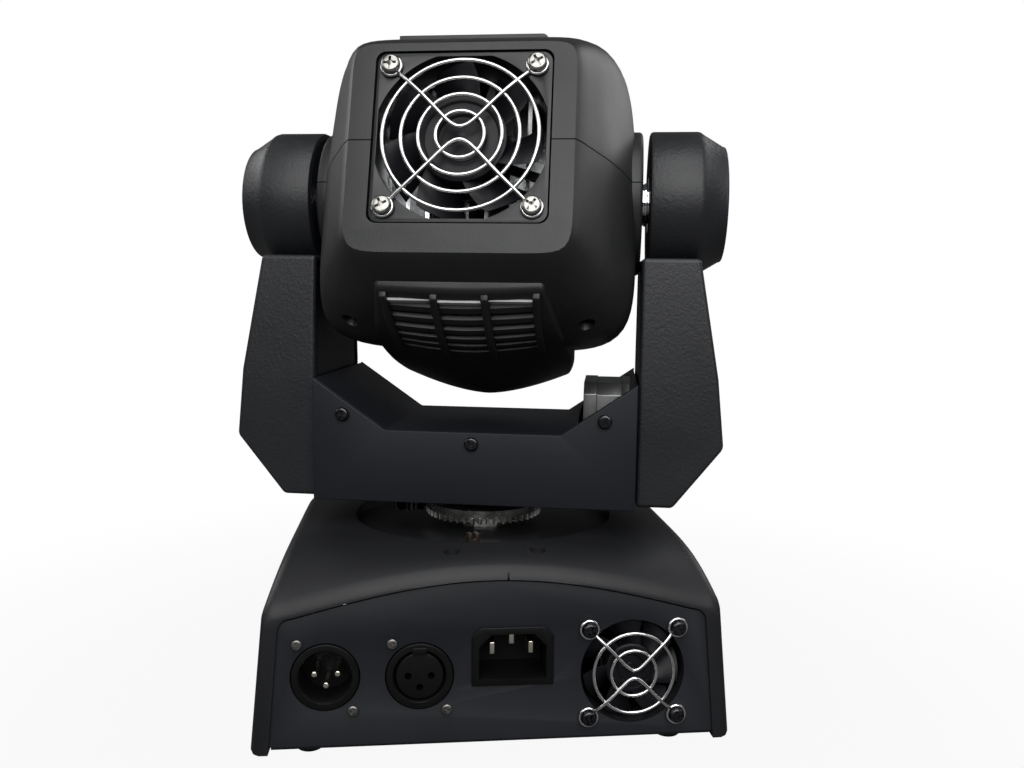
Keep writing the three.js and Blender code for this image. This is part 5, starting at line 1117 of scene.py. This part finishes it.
# head: two shells lofted through squared ovals, with the grille belly under the rear face
head = {"rear": 66, "front": 62, "halfWidth": 60.5, "top": 60.6, "bottom": 62, "wall": 2.4, "rearWall": 4.6,
        "seam": (-1.6, -1.2), "taper": 0.06, "taperStart": 0.3, "points": 144, "rim": 1.3, "runPast": 3,
        "boss": (28, 62.2, 1.2), "bossFrom": 30, "bush": 8.9, "frontHole": 38.3, "recess": (61.2, 3.5),
        "spineHalf": 25.5, "spineRise": 1.35, "spineAlong": (-0.861, 0.251), "spineEdge": 0.7}
headSections = [  # along, width, top, bottom, squareness above and below
    (-1, 0.635, 0.553, 0.655, 13, 11), (-0.976, 0.658, 0.578, 0.68, 12, 10.5), (-0.86, 0.735, 0.663, 0.765, 10, 9),
    (-0.7, 0.835, 0.762, 0.862, 8, 8), (-0.5, 0.93, 0.87, 0.945, 6.4, 7), (-0.3, 0.992, 0.95, 1, 5, 7),
    (-0.1, 1, 0.99, 0.985, 4.6, 6.5), (0.25, 1, 1, 0.915, 4.2, 5), (0.5, 0.968, 0.965, 0.85, 3.8, 4),
    (0.75, 0.885, 0.875, 0.79, 3.2, 3.2), (0.93, 0.765, 0.765, 0.735, 2.5, 2.5), (1, 0.7, 0.705, 0.68, 2.05, 2.05)]
headStations = ([-1, -0.994, -0.985, -0.975, -0.96, -0.94, -0.915, -0.885]  # closer together near the rear face
                + [-0.85 + 0.05 * k for k in range(37)] + [0.97, 1])
belly = {"halfWidth": 37.5, "bottom": 73, "arch": 9.5, "roof": 30, "power": 1.6, "round": 1.8, "rings": 34,
         "steps": 32}
bellySections = [  # along, width, depth, arch
    (-0.85, 0.78, 0.70, 0.1), (-0.5, 0.91, 0.865, 0.35), (-0.25, 0.98, 0.92, 0.6), (0.08, 1, 0.975, 0.9),
    (0.45, 0.95, 1, 1), (0.74, 0.86, 0.945, 1), (0.98, 0.7, 0.65, 0.6)]
grille = {"rows": 6, "first": -50, "pitch": 5, "high": 2.7, "wide": 14.6, "slotDepth": (-5, 7), "ribPitch": 17.6,
          "ribWidth": 2.6, "rise": 1.9, "root": 1.5, "ribFrom": -54.5, "ribTo": -20, "ribSteps": 16,
          "ribEdge": 0.4, "stripHalf": 2.1, "stripLap": 0.6, "stripDepth": (0.5, 1.3)}
headPocket = {"x": 43, "s": -34, "radius": 3.0, "roof": -39.7, "from": -90, "seat": 0.05}


def headAlong(share):
    return share * (head["rear"] if share < 0 else head["front"])


def ovalRing(share, y, wall):
    h = head
    width, top, bottom, squareTop, squareBottom = blendTable(headSections, share)
    taper = h["taper"] * min((share + 1) / h["taperStart"], 1)
    half, up, down = h["halfWidth"] * width - wall, h["top"] * top - wall, h["bottom"] * bottom - wall
    ring = []
    for k in range(h["points"]):
        angle = 2 * math.pi * k / h["points"]
        c, s = math.cos(angle), math.sin(angle)
        square, reach = (squareTop, up) if s >= 0 else (squareBottom, down)
        radius = (abs(c) ** square + abs(s) ** square) ** (-1 / square)
        x, z = c * radius * half, s * radius * reach
        ring.append((x * (1 - taper * max(z, 0) / up), y, z))
    return ring


def headSkin(name, wall=0.0, rearWall=0.0, runPast=0.0, start=-1.0, end=1.0):
    rings = []
    for share in headStations:
        y = headAlong(share)
        if start <= share <= end and (not rearWall or y >= rearWall - head["rear"]):
            rings.append(ovalRing(share, y + (runPast if share == 1 else 0), wall))
    return skinRings(name, rings)


def bellyAt(share):
    width, depth, arch = blendTable(bellySections, share)
    return belly["halfWidth"] * width, belly["bottom"] * depth, belly["arch"] * arch


def bellySkin(name, wall):
    b, rings = belly, []
    first, last = bellySections[0][0], bellySections[-1][0]
    for k in range(b["rings"] + 1):
        share = between(first, last, k / b["rings"])
        half, deep, arch = bellyAt(share)
        y = headAlong(share) + (wall if k == 0 else -wall if k == b["rings"] else 0)
        ring = [(half - wall, y, -b["roof"])]
        for j in range(b["steps"] + 1):
            across = 1 - 2 * j / b["steps"]
            ring.append(((half - wall) * across, y, arch * abs(across) ** b["power"] - deep + wall))
        rings.append(ring + [(wall - half, y, -b["roof"])])
    return skinRings(name, rings)


def bellyDepth(place, x):
    half, deep, arch = bellyAt(place / head["rear"] if place < 0 else place / head["front"])
    return arch * min(abs(x) / half, 1) ** belly["power"] - deep


def grilleBlocks(name, rows, halfWide, halfHigh, depths):
    # one block for each of the three columns in every row, level with the belly's skin
    g, blocks = grille, []
    for s in [g["first"] + row * g["pitch"] for row in range(rows)]:
        for x in (-g["ribPitch"], 0, g["ribPitch"]):
            skin = bellyDepth(s, x)
            blocks.append(addBlock(name, (x - halfWide, s - halfHigh, skin + depths[0]),
                                   (x + halfWide, s + halfHigh, skin + depths[1])))
    return group(name, *blocks)


def makeRibs():
    g, ribs = grille, []
    places = [between(g["ribFrom"], g["ribTo"], k / g["ribSteps"]) for k in range(g["ribSteps"] + 1)]
    for x in [(k - 1.5) * g["ribPitch"] for k in range(4)]:
        proud = [(s, bellyDepth(s, x) - g["rise"]) for s in places]
        rooted = [(s, bellyDepth(s, x) + g["root"]) for s in places]
        rib = prism("part", proud + rooted[::-1], x - g["ribWidth"] / 2, x + g["ribWidth"] / 2, "X")
        ribs.append(softenEdges(rib, g["ribEdge"], angle=40))
    return ribs


def makeBoss(side):
    radius, face, edge = head["boss"]
    start = head["bossFrom"]
    profile = [(0, start), (radius, start), (radius, face - edge), (radius - 0.4 * edge, face - 0.3 * edge),
               (radius - edge, face), (0, face)]
    return spinProfile("part", [(r, side * x) for r, x in profile], "X")


def makeHead():
    h, p, g = head, headPocket, grille
    upper = softenEdges(headSkin("headUpperShell"), h["rim"], segments=4, angle=40)
    keel = softenEdges(bellySkin("part", 0), belly["round"], segments=4, angle=40)
    start, end = h["spineAlong"]
    spine = headSkin("part", wall=-h["spineRise"], start=start, end=end)
    combine(spine, [addBlock("cut", (-h["spineHalf"], -60, 25), (h["spineHalf"], 40, 90))], "INTERSECT")
    softenEdges(spine, h["spineEdge"], segments=3, angle=50)
    fuse(upper, keel, spine, makeBoss(-1), makeBoss(1))
    carve(upper, fuse(headSkin("cut", h["wall"], h["rearWall"], h["runPast"]), bellySkin("part", h["wall"])))
    fuse(upper, *makeRibs())
    side, corner = h["recess"]
    carve(upper, prism("cut", roundedOutline(side, side, corner), -70, -58),
          addRod("cut", h["frontHole"], 30, 66, sides=128), addRod("cut", h["bush"], -70, 70, along="X"),
          *[addRod("cut", p["radius"], p["from"], p["roof"], (x, p["s"], 0), "Z", 48) for x in (-p["x"], p["x"])],
          grilleBlocks("cut", g["rows"], g["wide"] / 2, g["high"] / 2, g["slotDepth"]))
    low, high = h["seam"]
    lower = copyOf(upper, "headLowerShell", basePlace)
    carve(upper, addBlock("cut", (-90, -90, -120), (90, 90, high)))
    carve(lower, addBlock("cut", (-90, -90, low), (90, 90, 120)))
    for shell, node in ((upper, "head_upper_shell"), (lower, "head_lower_shell")):
        mount(shadeByAngle(shell, 34), headPlace, "head", "shellPlastic", node)
    mount(grilleBlocks("ventStrip", 1, g["wide"] / 2 + g["stripLap"], g["stripHalf"], g["stripDepth"]),
          headPlace, "head", "stripGrey")
    for x, tag in ((-p["x"], "Left"), (p["x"], "Right")):
        addScrew("small", f"headPocketScrew{tag}", headPlace, (x, p["s"], p["roof"] + p["seat"]), "head",
                 "dullScrew", lay=turnBy(90, "X"))


makeHead()


# front: a turned bezel and a bulging lens
front = {"bore": 31, "hole": 38, "outer": 40.2, "rear": 54, "seat": 66, "rim": 69.3, "face": 75, "edge": 2.4,
         "barrel": 26.3, "headFront": 62.3, "lip": [(33.34, 75), (32.43, 74.5), (28.4, 69.3)], "lens": 30.7,
         "lensFrom": 66.3, "lensTo": 69, "crown": 5.5, "crownPower": 1.6, "flat": 3.2, "steps": 16}


def makeFront():
    f = front
    rounded = [(r, f["face"] - y) for r, y in reversed(lowCorner(f["outer"], 0, f["edge"], 5))]
    bezel = spinProfile("frontBezel", [
        (f["barrel"], f["rear"]), (f["hole"], f["rear"]), (f["hole"], f["headFront"]),
        (f["outer"], f["headFront"]), *rounded, *f["lip"], (f["bore"], f["rim"]), (f["bore"], f["seat"]),
        (f["barrel"], f["seat"])], "Y", 128)
    mount(shadeByAngle(bezel, 30), headPlace, "head", "shellPlastic", "front_bezel")
    turns = [k / f["steps"] * halfPi for k in range(f["steps"], -1, -1)]
    edge, domed = f["lens"], f["lens"] - f["flat"]
    dome = [(domed * math.sin(turn), f["lensTo"] + f["crown"] * math.cos(turn) ** f["crownPower"])
            for turn in turns]
    lens = spinProfile("frontLens", [(0, f["lensFrom"]), (edge, f["lensFrom"]), (edge, f["lensTo"]), *dome],
                       "Y", 128)
    mount(shadeByAngle(lens, 30), headPlace, "head", "lensGlass", "front_lens")


makeFront()


# front panel: sheet with round key holes, display window and four turned keys
keys = {"names": ["menu_button", "down_button", "up_button", "enter_button"], "x": -46, "pitch": 12, "height": 34,
        "radius": 4, "proud": 1.6, "round": 0.7, "dish": [(0, 0.35), (1.2, 0.28), (2.3, 0.105)], "flange": 5.1,
        "flangeFrom": 1.5, "flangeTo": 2.5, "hole": 4.4}
display = {"width": 46, "height": 19, "corner": 2, "x": 22.0, "face": (-0.8, 1.6), "back": (1.5, 5.5), "lap": 2.2,
           "gap": 0.6, "edge": 0.35}


def displayBlock(name, grow, low, high):
    d = display
    return prism(name, roundedOutline(d["width"] + grow, d["height"] + grow, d["corner"], d["x"],
                                      onPanel(keys["height"])), low, high)


def makeFrontPanel():
    k, d = keys, display
    keyPlaces = [k["x"] + i * k["pitch"] for i in range(len(k["names"]))]
    holes = [panelHole(k["hole"], (x, k["height"])) for x in keyPlaces]
    makePanel("frontPanel", frontPlace, "front_panel", [*holes, displayBlock("cut", d["gap"], *panel["cut"])])
    window = softenEdges(displayBlock("displayWindow", 0, *d["face"]), d["edge"], segments=3, angle=50)
    fuse(window, displayBlock("part", d["lap"], *d["back"]))
    mount(shadeByAngle(window, 30), frontPlace, "base", "displayPane", "display_window")
    profile = [(radius, inward - k["proud"]) for radius, inward in k["dish"]]
    profile += lowCorner(k["radius"], -k["proud"], k["round"], 5)
    profile += [(k["radius"], k["flangeFrom"]), (k["flange"], k["flangeFrom"]), (k["flange"], k["flangeTo"]),
                (0, k["flangeTo"])]
    for x, node in zip(keyPlaces, k["names"]):
        piece = spinProfile(f"{node}_cap", profile, "Y", 64, (x, 0, onPanel(k["height"])))
        mount(shadeByAngle(piece, 35), frontPlace, node, "keyRubber", node)


makeFrontPanel()
mount(softenEdges(fromNode("bottom_plate", "bottomPlate"), 0.25), basePlace, "base", "sheetPaint", "bottom_plate")
print("head and front ready")

for master in masters.values():
    bpy.data.objects.remove(master, do_unlink=True)
